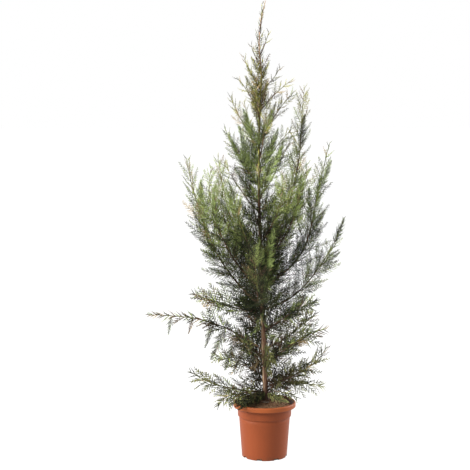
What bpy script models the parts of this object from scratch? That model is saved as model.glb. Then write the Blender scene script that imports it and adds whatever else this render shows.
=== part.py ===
"""A young leyland cypress, 1.88 m tall with the plastic nursery pot that it grows in.

A slender trunk runs from the soil to the tip of the leader.  Limbs leave it all round: low
ones reach out over the rim of the pot, the ones above them sweep up into tall plumes, and
those near the top are short.  A main limb has a bare bough as its inner part.  The rest of it,
and every smaller limb, is a mass of foliage: a stem that bears flat sprays all round and, on
the long limbs, a forked twig at its foot.  Each spray is a toothed blade.  All limbs follow
one rule, from the named sizes in LIMBS.

Metres, +Z up.  The origin is the centre of the pot's flat underside, and the plant is seen
from -Y with +X to the right.
"""

import math
import random
from typing import NamedTuple

import bmesh
import bpy
from mathutils import Matrix, Vector
from mathutils.bvhtree import BVHTree

UP = Vector((0.0, 0.0, 1.0))

# A level direction that no limb grows in, from which the corners of a ring are counted
SEAM = Vector((0.31, 0.95, 0.05))

# Space left between pieces that touch, and the distance under which corners are one
GAP = 0.0003
SAME_PLACE = 0.00005

# Pot: radii and heights of its turned shape
POT_HEIGHT = 0.2315
POT_WALL = 0.0025
POT_FLOOR = 0.004
POT_SIDES = 28
BASE_RADIUS = 0.094
BASE_CHAMFER = 0.002
BODY_TOP_RADIUS = 0.1065
COLLAR_RADIUS = 0.1115
COLLAR_FOOT = 0.170
COLLAR_STEP = 0.004
LIP_RADIUS = 0.130
LIP_FOOT = 0.2105
LIP_ROLL = 0.006
LIP_WIDTH = 0.0070
LIP_SLOPE = 0.001
LIP_THROAT = 0.004
COLLAR_FLARE = 0.001

# Drainage notches through the corner of wall and floor
NOTCHES = 8
NOTCH_TURN = 31.0
NOTCH_WIDTH = 0.022
NOTCH_HEIGHT = 0.008
NOTCH_DEPTH = 0.010

# Soil: its edge lies below the lip, and the root ball stands up as a low mound
SOIL_EDGE = 0.220
SOIL_SHOULDER = 0.229
SOIL_TOP = 0.236
SHOULDER_RADIUS = 0.072
MOUND_RADIUS = 0.030

# Trunk: it bows to the left, and the leader sways to the left and back near its tip
TRUNK_FOOT = SOIL_TOP + GAP
TRUNK_TIP = 1.881
TRUNK_BASE = Vector((0.004, 0.010, 0.0))
TRUNK_BOW = 0.027
TRUNK_BACK_BOW = 0.012
BOW_LATENESS = 1.3
LEADER_SWAY = 0.016
LEADER_FOOT = 1.600
TRUNK_RADIUS = 0.0100
TRUNK_TAPER = 0.9
TRUNK_TIP_RADIUS = 0.0012
FLARE = 0.0065
FLARE_HEIGHT = 0.018
FLARE_LOBES = 3
FLARE_RINGS = (0.0, 0.5, 1.2)
FLARE_REACH = 2.5
LOBE_DEPTH = 0.12
TRUNK_SIDES = 8
TRUNK_RINGS = 17

# Limbs: thickness grows with length, and each sways a little from its course
LIMB_RADIUS = 0.0013
RADIUS_PER_LENGTH = 0.0042
LIMB_TAPER = 0.75
LIMB_TIP_RADIUS = 0.0010
SWAY = 5.0
SWAY_TURNS = 1.4
PATH_STEPS = 48
BOUGH_SIDES = 5
STEM_SIDES = 3
STEM_STEP = 0.070

# Side growth on a stem: how far apart, how steep, and how long it is along the stem
SPRAY_STEP = 0.090
FIRST_SPRAY = 0.028
SPRAY_END = 0.035
GOLDEN_TURN = 137.5
ROLL_JITTER = 25.0
BASE_ANGLE = 52.0
TIP_ANGLE = 33.0
FIRST_LENGTH = 0.70
LENGTH_GAIN = 1.5
LENGTH_LOSS = 0.45
LOSS_LATENESS = 1.5
TERMINAL_SHARE = 0.36
TERMINAL_LENGTH = 0.120
TIP_TURNS = 6
TIP_TWIST = 50.0

# Forked twigs: the lowest side growth of a long limb, with a spray to each side and one ahead
FORKED_LIMB = 0.40
TWIG_STRETCH = 1.05
TWIG_RADIUS = 0.0019
TWIG_SIDES = 3
TWIG_JOINTS = 3
TWIG_TAPER = 0.45
FORKS = ((0.34, 1, 0.66), (0.62, -1, 0.58), (0.90, 0, 0.60))
FORK_ANGLE = 46.0

# A spray: a stalk, then a rib with a pair of swept teeth at each step and a short tip
RIB_WIDTH = 0.0036
RIB_THICKNESS = 0.0024
RIB_TAPER = 0.5
TIP_STEPS = 0.7
ROOT_SHARE = 0.40
STALK_SHARE = 0.14
SPRAY_WIDTH = 0.40
WIDTH_AT_STALK = 0.50
WIDENING = 1.2
NARROWING = 1.15
TOOTH_SWEEP = 0.80
TOOTH_JITTER = 0.18
TOOTH_CURL = 0.25
LONG_SPRAY = 0.095
CLEARANCE = 0.0012
SHORTER = (1.0, 0.78, 0.60)

# Heights of foot from which a limb bears the middle and the top green
MID_FOLIAGE = 0.50
TOP_FOLIAGE = 1.25


class Limb(NamedTuple):
    """One limb: where it leaves the trunk, where it goes, and the growth that it bears."""
    name: str
    foot: float          # height at which it leaves the trunk
    toward: float        # bearing in degrees: 0 is +X, 90 is +Y
    length: float        # from the trunk's axis to the tip
    rises: tuple         # degrees above level, at equal steps from foot to tip
    spray: float         # length of its longest side growth
    lift: float = 0.35   # how much the side growth turns up, or down below zero
    bare: float = 0.0    # share of the length that is a bare bough


LIMBS = (
    # Low limbs that hang out over the rim
    Limb("low_left", 0.262, 188, 0.34, (12, 10, 20, 40), 0.120, -0.25),
    Limb("rim_left", 0.270, 224, 0.29, (10, 6, 0, -42), 0.110, -0.45),
    Limb("low_right", 0.266, 350, 0.26, (38, 12, -2, -14), 0.110, -0.30),
    Limb("rim_right", 0.262, 312, 0.20, (26, 10, -4, -20), 0.075, -0.10),
    Limb("low_right_back", 0.282, 30, 0.27, (22, 20, 18), 0.115, -0.15),
    Limb("low_left_back", 0.335, 158, 0.26, (26, 16, 10), 0.120, -0.10),
    Limb("low_right_rising", 0.290, 355, 0.32, (16, 30, 62), 0.115, 0.15),
    Limb("low_back", 0.292, 98, 0.28, (24, 18, 24), 0.120, -0.10),

    # Limbs of the open part below the crown
    Limb("long_left", 0.438, 182, 0.53, (44, 24, 8, 3), 0.120, -0.10, 0.24),
    Limb("right_fan", 0.372, 338, 0.33, (44, 42, 30, 12), 0.125, 0.05),
    Limb("right_back", 0.450, 38, 0.31, (12, 24, 36), 0.130, 0.10),
    Limb("right_front", 0.520, 322, 0.32, (38, 32, 24), 0.125, 0.05),
    Limb("front_left_low", 0.372, 232, 0.27, (38, 40, 48), 0.125, 0.10),
    Limb("back_low", 0.430, 104, 0.33, (34, 40, 50), 0.130, 0.15),

    # Main limbs of the crown
    Limb("tall_left", 0.621, 180, 0.72, (44, 56, 72, 84), 0.165, 0.35, 0.18),
    Limb("short_left", 0.598, 158, 0.33, (6, 12, 18), 0.135, 0.15),
    Limb("left_front", 0.700, 215, 0.61, (42, 50, 72, 104), 0.155, 0.35, 0.19),
    Limb("left_inner", 0.805, 150, 0.42, (36, 44, 68, 96), 0.140, 0.35, 0.19),
    Limb("wide_right", 0.615, 0, 0.54, (18, 42, 60, 76), 0.150, 0.30, 0.18),
    Limb("tall_right", 0.700, 10, 0.70, (38, 42, 68, 80, 80, 76), 0.160, 0.35, 0.18),
    Limb("front_right_tall", 0.800, 328, 0.50, (42, 56, 72, 84), 0.145, 0.35, 0.18),
    Limb("inner_right", 0.840, 20, 0.74, (42, 72, 88, 80), 0.140, 0.35, 0.17),
    Limb("front_centre", 0.890, 300, 0.38, (42, 46, 66, 100), 0.135, 0.35),
    Limb("front", 0.600, 262, 0.44, (30, 50, 72), 0.150, 0.30),
    Limb("front_left", 0.770, 240, 0.44, (42, 56, 78), 0.145, 0.35),
    Limb("back", 0.620, 80, 0.54, (34, 56, 76), 0.155, 0.30),
    Limb("back_left", 0.715, 128, 0.62, (42, 60, 80), 0.160, 0.35, 0.18),
    Limb("back_right", 0.760, 58, 0.62, (42, 62, 80), 0.160, 0.35, 0.18),

    # Shorter limbs of the upper crown
    Limb("high_left", 1.020, 202, 0.27, (48, 52, 66), 0.120),
    Limb("upper_left", 1.130, 172, 0.28, (52, 58, 70), 0.115),
    Limb("high_right", 1.085, 36, 0.30, (48, 56, 66), 0.120),
    Limb("upper_right", 1.180, 344, 0.25, (60, 54, 44), 0.110),
    Limb("high_front", 0.985, 268, 0.34, (48, 62, 76), 0.125),
    Limb("high_back", 1.000, 96, 0.38, (48, 62, 76), 0.130),
    Limb("upper_front", 1.225, 284, 0.27, (56, 62, 72), 0.110),
    Limb("upper_back", 1.215, 118, 0.30, (56, 64, 74), 0.115),
    Limb("crown_left", 1.275, 166, 0.26, (57, 60, 67), 0.100),
    Limb("crown_right", 1.310, 14, 0.26, (58, 58, 40), 0.100),

    # The narrow top and the leader
    Limb("peak_left", 1.428, 188, 0.18, (64, 58, 48), 0.075),
    Limb("peak_right", 1.436, 350, 0.19, (50, 46, 30), 0.075),
    Limb("peak_front", 1.395, 258, 0.20, (56, 62, 70), 0.080),
    Limb("peak_back", 1.420, 82, 0.20, (56, 62, 70), 0.080),
    Limb("spire_left", 1.520, 172, 0.16, (58, 62, 70), 0.062),
    Limb("spire_right", 1.505, 28, 0.15, (44, 48, 58), 0.062),
    Limb("leader_left", 1.600, 198, 0.12, (60, 68, 76), 0.048),
    Limb("leader_right", 1.660, 14, 0.11, (60, 70, 78), 0.044),
    Limb("leader_tip", 1.755, 300, 0.12, (72, 82, 86), 0.034),
)


def clear_scene():
    """Start from an empty scene."""
    for thing in list(bpy.data.objects):
        bpy.data.objects.remove(thing, do_unlink=True)


def plain_material(name, colour, roughness, metallic=0.0):
    """A Principled material of one colour."""
    material = bpy.data.materials.new(name)
    material.use_nodes = True
    shader = material.node_tree.nodes["Principled BSDF"]
    shader.inputs["Base Color"].default_value = (*colour, 1.0)
    shader.inputs["Roughness"].default_value = roughness
    shader.inputs["Metallic"].default_value = metallic
    return material


def make_materials():
    """The pot's plastic, the soil, the bark, and greens from the dark low growth to the tips."""
    return {
        "terracotta_plastic": plain_material("terracotta_plastic", (0.38, 0.098, 0.045), 0.45),
        "soil": plain_material("soil", (0.060, 0.035, 0.022), 0.95),
        "bark": plain_material("bark", (0.165, 0.085, 0.050), 0.85),
        "foliage_low": plain_material("foliage_low", (0.035, 0.070, 0.030), 0.70),
        "foliage_mid": plain_material("foliage_mid", (0.070, 0.125, 0.055), 0.70),
        "foliage_top": plain_material("foliage_top", (0.110, 0.150, 0.065), 0.70),
    }


def new_object(name, bm, material):
    """Turn a bmesh into an object at the origin."""
    bmesh.ops.recalc_face_normals(bm, faces=bm.faces)
    mesh = bpy.data.meshes.new(name)
    bm.to_mesh(mesh)
    bm.free()
    if material is not None:
        mesh.materials.append(material)
    thing = bpy.data.objects.new(name, mesh)
    bpy.context.scene.collection.objects.link(thing)
    return thing


def smooth(thing, angle):
    """Shade a round piece smooth, with its corners kept sharp."""
    thing.data.shade_smooth()
    thing.data.set_sharp_from_angle(angle=math.radians(angle))


def turned(outline, sides):
    """A bmesh of an outline of (radius, height) points turned once round the Z axis."""
    bm = bmesh.new()
    corners = [bm.verts.new((radius, 0.0, height)) for radius, height in outline]
    edges = [bm.edges.new(pair) for pair in zip(corners, corners[1:])]
    bmesh.ops.spin(bm, geom=corners + edges, cent=(0, 0, 0), axis=(0, 0, 1),
                   angle=math.tau, steps=sides, use_merge=True, use_duplicate=False)
    bmesh.ops.remove_doubles(bm, verts=bm.verts, dist=SAME_PLACE)
    return bm


def inner_radius(height):
    """Radius of the pot's cavity, from its floor to the foot of the lip."""
    slope = (BODY_TOP_RADIUS - BASE_RADIUS) / COLLAR_FOOT
    body = BASE_RADIUS + slope * min(height, COLLAR_FOOT) - POT_WALL
    collar = COLLAR_RADIUS - POT_WALL
    step = (height - COLLAR_FOOT) / (2 * COLLAR_STEP)
    return body + (collar - body) * min(max(step, 0.0), 1.0)


def pot_outline():
    """Half section of the pot, from the middle of its underside out, up and back inside."""
    lip_top = POT_HEIGHT - LIP_ROLL / 2
    inner_lip = LIP_RADIUS - LIP_WIDTH
    outside = [
        (0.0, 0.0),
        (BASE_RADIUS - BASE_CHAMFER, 0.0),
        (BASE_RADIUS, BASE_CHAMFER),
        (BODY_TOP_RADIUS, COLLAR_FOOT),
        (COLLAR_RADIUS, COLLAR_FOOT + COLLAR_STEP),
        (COLLAR_RADIUS + COLLAR_FLARE, LIP_FOOT),
        (LIP_RADIUS - LIP_ROLL / 2, LIP_FOOT),
        (LIP_RADIUS, LIP_FOOT + LIP_ROLL / 2),
        (LIP_RADIUS, lip_top),
        (LIP_RADIUS - LIP_ROLL / 2, POT_HEIGHT),
    ]
    inside = [
        (inner_lip, POT_HEIGHT - LIP_SLOPE),
        (COLLAR_RADIUS - POT_WALL + COLLAR_FLARE, LIP_FOOT + LIP_THROAT),
        (inner_radius(COLLAR_FOOT + 2 * COLLAR_STEP), COLLAR_FOOT + 2 * COLLAR_STEP),
        (inner_radius(COLLAR_FOOT), COLLAR_FOOT),
        (inner_radius(POT_FLOOR), POT_FLOOR),
        (0.0, POT_FLOOR),
    ]
    return outside + inside


def cut_with(thing, cutter, solver="EXACT"):
    """Subtract the cutter from an object and apply the cut."""
    cut = thing.modifiers.new("cut", "BOOLEAN")
    cut.operation = "DIFFERENCE"
    cut.solver = solver
    cut.object = cutter
    apply_modifiers(thing)


def apply_modifiers(thing):
    """Replace an object's mesh by what its modifiers make of it."""
    graph = bpy.context.evaluated_depsgraph_get()
    result = bpy.data.meshes.new_from_object(thing.evaluated_get(graph), depsgraph=graph)
    result.name = thing.name
    thing.modifiers.clear()
    thing.data = result


def make_pot(material):
    """The pot, turned, with drainage notches through the corner of its wall and floor."""
    pot = new_object("pot", turned(pot_outline(), POT_SIDES), material)
    bm = bmesh.new()
    reach = BASE_RADIUS + BASE_CHAMFER - NOTCH_DEPTH / 2
    for number in range(NOTCHES):
        turn = math.radians(NOTCH_TURN) + math.tau * number / NOTCHES
        block = bmesh.ops.create_cube(bm, size=1.0)["verts"]
        bmesh.ops.scale(bm, verts=block, vec=(NOTCH_DEPTH, NOTCH_WIDTH, 2 * NOTCH_HEIGHT))
        bmesh.ops.translate(bm, verts=block, vec=(reach, 0, 0))
        bmesh.ops.rotate(bm, verts=block, cent=(0, 0, 0), matrix=rotation_about_up(turn))
    cutter = new_object("pot_notches", bm, None)
    cut_with(pot, cutter)
    bpy.data.objects.remove(cutter, do_unlink=True)
    smooth(pot, 35)
    return pot


def rotation_about_up(turn):
    """The rotation by an angle, in radians, about +Z."""
    return Matrix.Rotation(turn, 3, UP)


def make_soil(material):
    """The root ball and soil that fill the pot, with a low mound round the trunk."""
    foot = POT_FLOOR + GAP
    outline = [
        (0.0, foot),
        (inner_radius(foot) - GAP, foot),
        (inner_radius(COLLAR_FOOT) - GAP, COLLAR_FOOT),
        (inner_radius(COLLAR_FOOT + 2 * COLLAR_STEP) - GAP, COLLAR_FOOT + 2 * COLLAR_STEP),
        (COLLAR_RADIUS - POT_WALL - GAP, LIP_FOOT + LIP_THROAT),
        (COLLAR_RADIUS - POT_WALL - GAP, SOIL_EDGE),
        (SHOULDER_RADIUS, SOIL_SHOULDER),
        (MOUND_RADIUS, SOIL_TOP),
        (0.0, SOIL_TOP),
    ]
    soil = new_object("soil", turned(outline, POT_SIDES), material)
    smooth(soil, 35)
    return soil


def trunk_share(height):
    """How far up the trunk a height lies, from 0 at the soil to 1 at the tip."""
    return min(max((height - TRUNK_FOOT) / (TRUNK_TIP - TRUNK_FOOT), 0.0), 1.0)


def trunk_point(height):
    """The trunk's axis at a height: it bows, and its leader sways."""
    share = trunk_share(height)
    bow = math.sin(math.pi * share ** BOW_LATENESS)
    up_leader = max(height - LEADER_FOOT, 0.0) / (TRUNK_TIP - LEADER_FOOT)
    sway = LEADER_SWAY * math.sin(math.pi * up_leader)
    x = TRUNK_BASE.x * (1 - share) - TRUNK_BOW * bow - sway
    y = TRUNK_BASE.y * (1 - share) + TRUNK_BACK_BOW * bow * math.cos(math.pi * share)
    return Vector((x, y, height))


def trunk_radius(height):
    """The trunk's radius at a height, with the root flare at its foot."""
    share = trunk_share(height)
    taper = TRUNK_RADIUS * (1 - share) ** TRUNK_TAPER + TRUNK_TIP_RADIUS
    return taper + FLARE * math.exp(-(height - TRUNK_FOOT) / FLARE_HEIGHT)


def skin(bm, rings):
    """Close a run of rings of vertices into one solid with flat ends."""
    for low, high in zip(rings, rings[1:]):
        for number in range(len(low)):
            after = (number + 1) % len(low)
            bm.faces.new((low[number], low[after], high[after], high[number]))
    bm.faces.new(list(reversed(rings[0])))
    bm.faces.new(rings[-1])


def ring(bm, centre, heading, radii):
    """A ring of vertices round a point, square to the heading, one radius for each vertex."""
    across = heading.cross(SEAM).normalized()
    over = heading.cross(across)
    corners = []
    for number, radius in enumerate(radii):
        turn = math.tau * number / len(radii)
        offset = across * math.cos(turn) + over * math.sin(turn)
        corners.append(bm.verts.new(centre + offset * radius))
    return corners


def trunk_mesh(grow=0.0):
    """The trunk as a bmesh, or a copy that is larger all round by a gap."""
    bm = bmesh.new()
    flare_top = TRUNK_FOOT + FLARE_REACH * FLARE_HEIGHT
    heights = [TRUNK_FOOT + share * FLARE_HEIGHT for share in FLARE_RINGS]
    for number in range(TRUNK_RINGS):
        heights.append(flare_top + (TRUNK_TIP - flare_top) * number / (TRUNK_RINGS - 1))
    rings = []
    for height in heights:
        lobes = LOBE_DEPTH * math.exp(-(height - TRUNK_FOOT) / FLARE_HEIGHT)
        radii = []
        for number in range(TRUNK_SIDES):
            turn = math.tau * number / TRUNK_SIDES
            swell = 1 + lobes * math.cos(FLARE_LOBES * turn)
            radii.append(trunk_radius(height) * swell + grow)
        rings.append(ring(bm, trunk_point(height), UP, radii))
    skin(bm, rings)
    return bm


class Course:
    """The path of a limb, worked out in small steps from the trunk's axis to the tip."""

    def __init__(self, limb):
        draw = random.Random(limb.name)
        phase = draw.uniform(0, math.tau)
        self.points = [trunk_point(limb.foot)]
        for step in range(PATH_STEPS):
            share = (step + 0.5) / PATH_STEPS
            swing = SWAY * math.sin(SWAY_TURNS * math.tau * share + phase)
            rise = math.radians(blend_list(limb.rises, share) + 0.5 * swing)
            toward = math.radians(limb.toward + swing)
            flat = Vector((math.cos(toward), math.sin(toward), 0.0))
            heading = flat * math.cos(rise) + UP * math.sin(rise)
            self.points.append(self.points[-1] + heading * limb.length / PATH_STEPS)

    def at(self, share):
        """The point at a share of the length."""
        place = min(max(share, 0.0), 1.0) * PATH_STEPS
        step = min(int(place), PATH_STEPS - 1)
        return self.points[step].lerp(self.points[step + 1], place - step)

    def heading(self, share):
        """The direction of growth at a share of the length."""
        half = 1.0 / PATH_STEPS
        return (self.at(share + half) - self.at(share - half)).normalized()


def blend_list(values, share):
    """Read a short list of values at a share of its span, straight between neighbours."""
    place = share * (len(values) - 1)
    step = min(int(place), len(values) - 2)
    return values[step] + (values[step + 1] - values[step]) * (place - step)


def limb_radius(limb, share):
    """A limb's radius at a share of its length."""
    foot = LIMB_RADIUS + RADIUS_PER_LENGTH * limb.length
    return foot * (1 - share) ** LIMB_TAPER + LIMB_TIP_RADIUS


def limb_mesh(limb, course, start, end, sides):
    """A tapering length of a limb, from one share of it to another, as a bmesh."""
    bm = bmesh.new()
    count = max(3, round((end - start) * limb.length / STEM_STEP))
    rings = []
    for number in range(count + 1):
        share = start + (end - start) * number / count
        radii = [limb_radius(limb, share)] * sides
        rings.append(ring(bm, course.at(share), course.heading(share), radii))
    skin(bm, rings)
    return bm


def spray_mesh(root, heading, normal, length, lift, draw, grow=0.0):
    """A flat spray as a toothed blade: a stalk, then a bending keeled rib with pairs of teeth.

    With grow above zero it is the space that the spray needs, beyond its stalk.
    """
    pairs = 4 if length > LONG_SPRAY else 3
    stalk = STALK_SHARE * length
    step = (length - stalk) / (pairs + TIP_STEPS)
    bm = bmesh.new()
    centre = root
    direction = heading
    rows = []
    teeth = []
    for number in range(pairs + 2):
        if number == 0 and grow > 0.0:
            centre = centre + direction * stalk
            continue
        share = number / (pairs + 2)
        side = normal.cross(direction).normalized()
        face = direction.cross(side).normalized()
        girth = ROOT_SHARE if number == 0 else 1 - RIB_TAPER * share
        across = side * (RIB_WIDTH / 2 * girth + grow)
        over = face * (RIB_THICKNESS / 2 * girth + grow)
        rows.append([bm.verts.new(corner) for corner in
                     (centre + over, centre + across - over, centre - across - over)])
        if 0 < number <= pairs:
            outline = min(1.0, WIDTH_AT_STALK + WIDENING * share) * (NARROWING - share)
            reach = length * SPRAY_WIDTH * outline
            pair = []
            for hand in (1, -1):
                out = reach * (1 + draw.uniform(-TOOTH_JITTER, TOOTH_JITTER)) + grow
                curl = face * (out * draw.uniform(-TOOTH_CURL, TOOTH_CURL))
                forward = direction * (step / 2 + out * TOOTH_SWEEP)
                pair.append(bm.verts.new(centre + forward + side * (hand * out) + curl))
            teeth.append(pair)
        direction = (direction + UP * (lift * step / length)).normalized()
        centre = centre + direction * (stalk if number == 0 else step)
    tip = bm.verts.new(centre - direction * ((1 - TIP_STEPS) * step - grow))
    bm.faces.new(rows[0])
    if grow == 0.0:
        for number in range(3):
            after = (number + 1) % 3
            bm.faces.new((rows[0][number], rows[0][after], rows[1][after], rows[1][number]))
    for near, far, pair in zip(rows[-1 - pairs:], rows[-pairs:], teeth):
        bm.faces.new((near[1], far[1], far[2], near[2]))
        for tooth, edge in zip(pair, (1, 2)):
            bm.faces.new((near[0], tooth, far[0]))
            bm.faces.new((near[edge], far[edge], tooth))
            bm.faces.new((near[0], near[edge], tooth))
            bm.faces.new((far[0], tooth, far[edge]))
    for number in range(3):
        bm.faces.new((rows[-1][number], rows[-1][(number + 1) % 3], tip))
    return bm


class Room:
    """What already stands in the crown, so that new growth keeps clear of it."""

    def __init__(self):
        self.solids = []

    def add(self, owner, bm):
        """Take in a solid, under the name of the node that it belongs to."""
        low, high = reach_of(bm)
        self.solids.append((owner, low, high, BVHTree.FromBMesh(bm)))

    def is_free(self, owner, bm):
        """Say whether a solid touches nothing that belongs to another node."""
        low, high = reach_of(bm)
        tree = BVHTree.FromBMesh(bm)
        for other, other_low, other_high, other_tree in self.solids:
            if other == owner:
                continue
            if any(low[axis] > other_high[axis] or high[axis] < other_low[axis] for axis in range(3)):
                continue
            if tree.overlap(other_tree):
                return False
        return True


def reach_of(bm):
    """Lowest and highest corner of a bmesh."""
    low = Vector([min(vert.co[axis] for vert in bm.verts) for axis in range(3)])
    high = Vector([max(vert.co[axis] for vert in bm.verts) for axis in range(3)])
    return low, high


def grown_spray(room, owner, root, heading, normal, length, lift, seed):
    """A spray that fits where it grows, shorter if it must be, or None."""
    for share in SHORTER:
        space = spray_mesh(root, heading, normal, length * share, lift, random.Random(seed), CLEARANCE)
        spray = spray_mesh(root, heading, normal, length * share, lift, random.Random(seed))
        free = room.is_free(owner, space) and room.is_free(owner, spray)
        space.free()
        if free:
            return spray
        spray.free()
    return None


def twig_mesh(root, heading, length, lift):
    """A bending, tapering twig, as a bmesh, and the points and directions along it."""
    bm = bmesh.new()
    centre = root
    direction = heading
    places = []
    rings = []
    for number in range(TWIG_JOINTS):
        share = number / (TWIG_JOINTS - 1)
        places.append((centre, direction))
        rings.append(ring(bm, centre, direction, [TWIG_RADIUS * (1 - TWIG_TAPER * share)] * TWIG_SIDES))
        direction = (direction + UP * (lift / TWIG_JOINTS)).normalized()
        centre = centre + direction * (length / (TWIG_JOINTS - 1))
    skin(bm, rings)
    return bm, places


def forked_twig(room, owner, root, heading, normal, length, lift, seed):
    """A twig with its sprays, as bmeshes, or nothing where it would touch another piece."""
    twig, places = twig_mesh(root, heading, length, lift)
    if not room.is_free(owner, twig):
        twig.free()
        return []
    pieces = [twig]
    for share, hand, size in FORKS:
        joint = min(int(share * (TWIG_JOINTS - 1)), TWIG_JOINTS - 2)
        near, far = places[joint], places[joint + 1]
        point = near[0].lerp(far[0], share * (TWIG_JOINTS - 1) - joint)
        ahead = (far[0] - near[0]).normalized()
        side = normal.cross(ahead).normalized() * hand
        turn = math.radians(FORK_ANGLE)
        branch = ahead if hand == 0 else ahead * math.cos(turn) + side * math.sin(turn)
        spray = grown_spray(room, owner, point, branch, normal, size * length, lift,
                            "%s fork %d" % (seed, hand))
        if spray is not None:
            pieces.append(spray)
    return pieces


def side_directions(limb, course, share, roll, angle):
    """Heading and plane of the growth that leaves a stem at a roll round it and an angle to it."""
    ahead = course.heading(share)
    toward = math.radians(limb.toward)
    sideways = Vector((-math.sin(toward), math.cos(toward), 0.0))
    over = sideways.cross(ahead).normalized()
    sideways = ahead.cross(over)
    out = sideways * math.cos(math.radians(roll)) + over * math.sin(math.radians(roll))
    heading = ahead * math.cos(math.radians(angle)) + out * math.sin(math.radians(angle))
    return heading.normalized(), heading.cross(ahead).normalized()


def terminal_length(limb):
    """Length of the spray that ends a limb."""
    return min(TERMINAL_LENGTH, TERMINAL_SHARE * limb.length)


def tip_growth(limb, course, room):
    """The spray that ends a limb, in a list of one, turned until it is free of other pieces."""
    owner = "foliage_" + limb.name
    draw = random.Random(limb.name + " tip")
    length = terminal_length(limb)
    share = 1 - length / limb.length
    for _ in range(TIP_TURNS):
        toward = math.radians(limb.toward + draw.uniform(-TIP_TWIST, TIP_TWIST))
        normal = Vector((-math.sin(toward), math.cos(toward), 0.0))
        spray = grown_spray(room, owner, course.at(share), course.heading(share), normal, length,
                            0.0, limb.name)
        if spray is not None:
            room.add(owner, spray)
            return [spray]
    return []


def side_growth(limb, course, room):
    """The side growth of a mass, as bmeshes, in order from the foot of its stem."""
    owner = "foliage_" + limb.name
    draw = random.Random(limb.name + " growth")
    first = limb.bare + FIRST_SPRAY / limb.length
    last = 1 - (terminal_length(limb) / 2 + SPRAY_END) / limb.length
    count = max(3, round((last - first) * limb.length / SPRAY_STEP) + 1)
    start_roll = draw.uniform(0, 360)
    pieces = []
    for number in range(count):
        share = first + (last - first) * number / (count - 1)
        up_mass = (share - limb.bare) / (1 - limb.bare)
        roll = start_roll + GOLDEN_TURN * number + draw.uniform(-ROLL_JITTER, ROLL_JITTER)
        angle = BASE_ANGLE + (TIP_ANGLE - BASE_ANGLE) * up_mass
        gain = min(1.0, FIRST_LENGTH + LENGTH_GAIN * up_mass)
        length = limb.spray * gain * (1 - LENGTH_LOSS * up_mass ** LOSS_LATENESS)
        heading, normal = side_directions(limb, course, share, roll, angle)
        root = course.at(share)
        seed = "%s %d" % (limb.name, number)
        if number == 0 and limb.length > FORKED_LIMB:
            pieces += forked_twig(room, owner, root, heading, normal, TWIG_STRETCH * limb.spray,
                                  limb.lift, seed)
            continue
        spray = grown_spray(room, owner, root, heading, normal, length, limb.lift, seed)
        if spray is not None:
            pieces.append(spray)
    return pieces


def join_mass(stem, pieces, cutter):
    """Union a stem with its sprays, cut it clear of the trunk, and keep the one solid."""
    sprays = bpy.data.collections.new(stem.name + "_sprays")
    for number, bm in enumerate(pieces):
        spray = new_object("%s_%d" % (stem.name, number), bm, None)
        bpy.context.scene.collection.objects.unlink(spray)
        sprays.objects.link(spray)
    union = stem.modifiers.new("sprays", "BOOLEAN")
    union.operation = "UNION"
    union.operand_type = "COLLECTION"
    union.collection = sprays
    union.solver = "EXACT"
    if cutter is not None:
        cut = stem.modifiers.new("trunk", "BOOLEAN")
        cut.operation = "DIFFERENCE"
        cut.solver = "EXACT"
        cut.object = cutter
    apply_modifiers(stem)
    for spray in list(sprays.objects):
        bpy.data.objects.remove(spray, do_unlink=True)
    bpy.data.collections.remove(sprays)
    keep_largest(stem)


def keep_largest(thing):
    """Drop loose scraps and fill sealed hollows: only the largest shell of an object stays."""
    bm = bmesh.new()
    bm.from_mesh(thing.data)
    shells = []
    waiting = set(bm.faces)
    while waiting:
        shell = []
        front = [waiting.pop()]
        while front:
            face = front.pop()
            shell.append(face)
            for edge in face.edges:
                for near in edge.link_faces:
                    if near in waiting:
                        waiting.remove(near)
                        front.append(near)
        shells.append(shell)
    shells.sort(key=len, reverse=True)
    for shell in shells[1:]:
        bmesh.ops.delete(bm, geom=shell, context="FACES")
    bm.to_mesh(thing.data)
    bm.free()


def foliage_name(limb):
    """Which of the greens a limb bears, by the height of its foot."""
    if limb.foot < MID_FOLIAGE:
        return "foliage_low"
    return "foliage_mid" if limb.foot < TOP_FOLIAGE else "foliage_top"


def make_limbs(materials, pot, soil):
    """The trunk, the boughs and the masses, which grow in turn and keep clear of each other."""
    trunk = new_object("trunk", trunk_mesh(), materials["bark"])
    smooth(trunk, 60)
    room = Room()
    for thing in (pot, soil, trunk):
        bm = bmesh.new()
        bm.from_mesh(thing.data)
        room.add(thing.name, bm)
        bm.free()
    side_slack = GAP / math.cos(math.pi / TRUNK_SIDES)
    cutter = new_object("trunk_space", trunk_mesh(side_slack), None)
    cutter.hide_render = True
    cutter.display_type = "WIRE"

    courses = {}
    stems = {}
    for limb in LIMBS:
        course = Course(limb)
        courses[limb.name] = course
        stem_start = 0.0
        if limb.bare > 0.0:
            bm = limb_mesh(limb, course, 0.0, limb.bare, BOUGH_SIDES)
            room.add("bough_" + limb.name, bm)
            bough = new_object("bough_" + limb.name, bm, materials["bark"])
            cut_with(bough, cutter)
            keep_largest(bough)
            smooth(bough, 60)
            stem_start = limb.bare + GAP / limb.length
        stem_end = 1 - (1 - STALK_SHARE) * terminal_length(limb) / limb.length
        bm = limb_mesh(limb, course, stem_start, stem_end, STEM_SIDES)
        room.add("foliage_" + limb.name, bm)
        stems[limb.name] = new_object("foliage_" + limb.name, bm, materials[foliage_name(limb)])

    tips = {limb.name: tip_growth(limb, courses[limb.name], room) for limb in LIMBS}
    for limb in LIMBS:
        pieces = side_growth(limb, courses[limb.name], room)
        for bm in pieces:
            room.add("foliage_" + limb.name, bm)
        join_mass(stems[limb.name], tips[limb.name] + pieces, cutter if limb.bare == 0.0 else None)
    bpy.data.objects.remove(cutter, do_unlink=True)


def main():
    """Build the potted plant."""
    clear_scene()
    materials = make_materials()
    pot = make_pot(materials["terracotta_plastic"])
    soil = make_soil(materials["soil"])
    make_limbs(materials, pot, soil)


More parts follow.
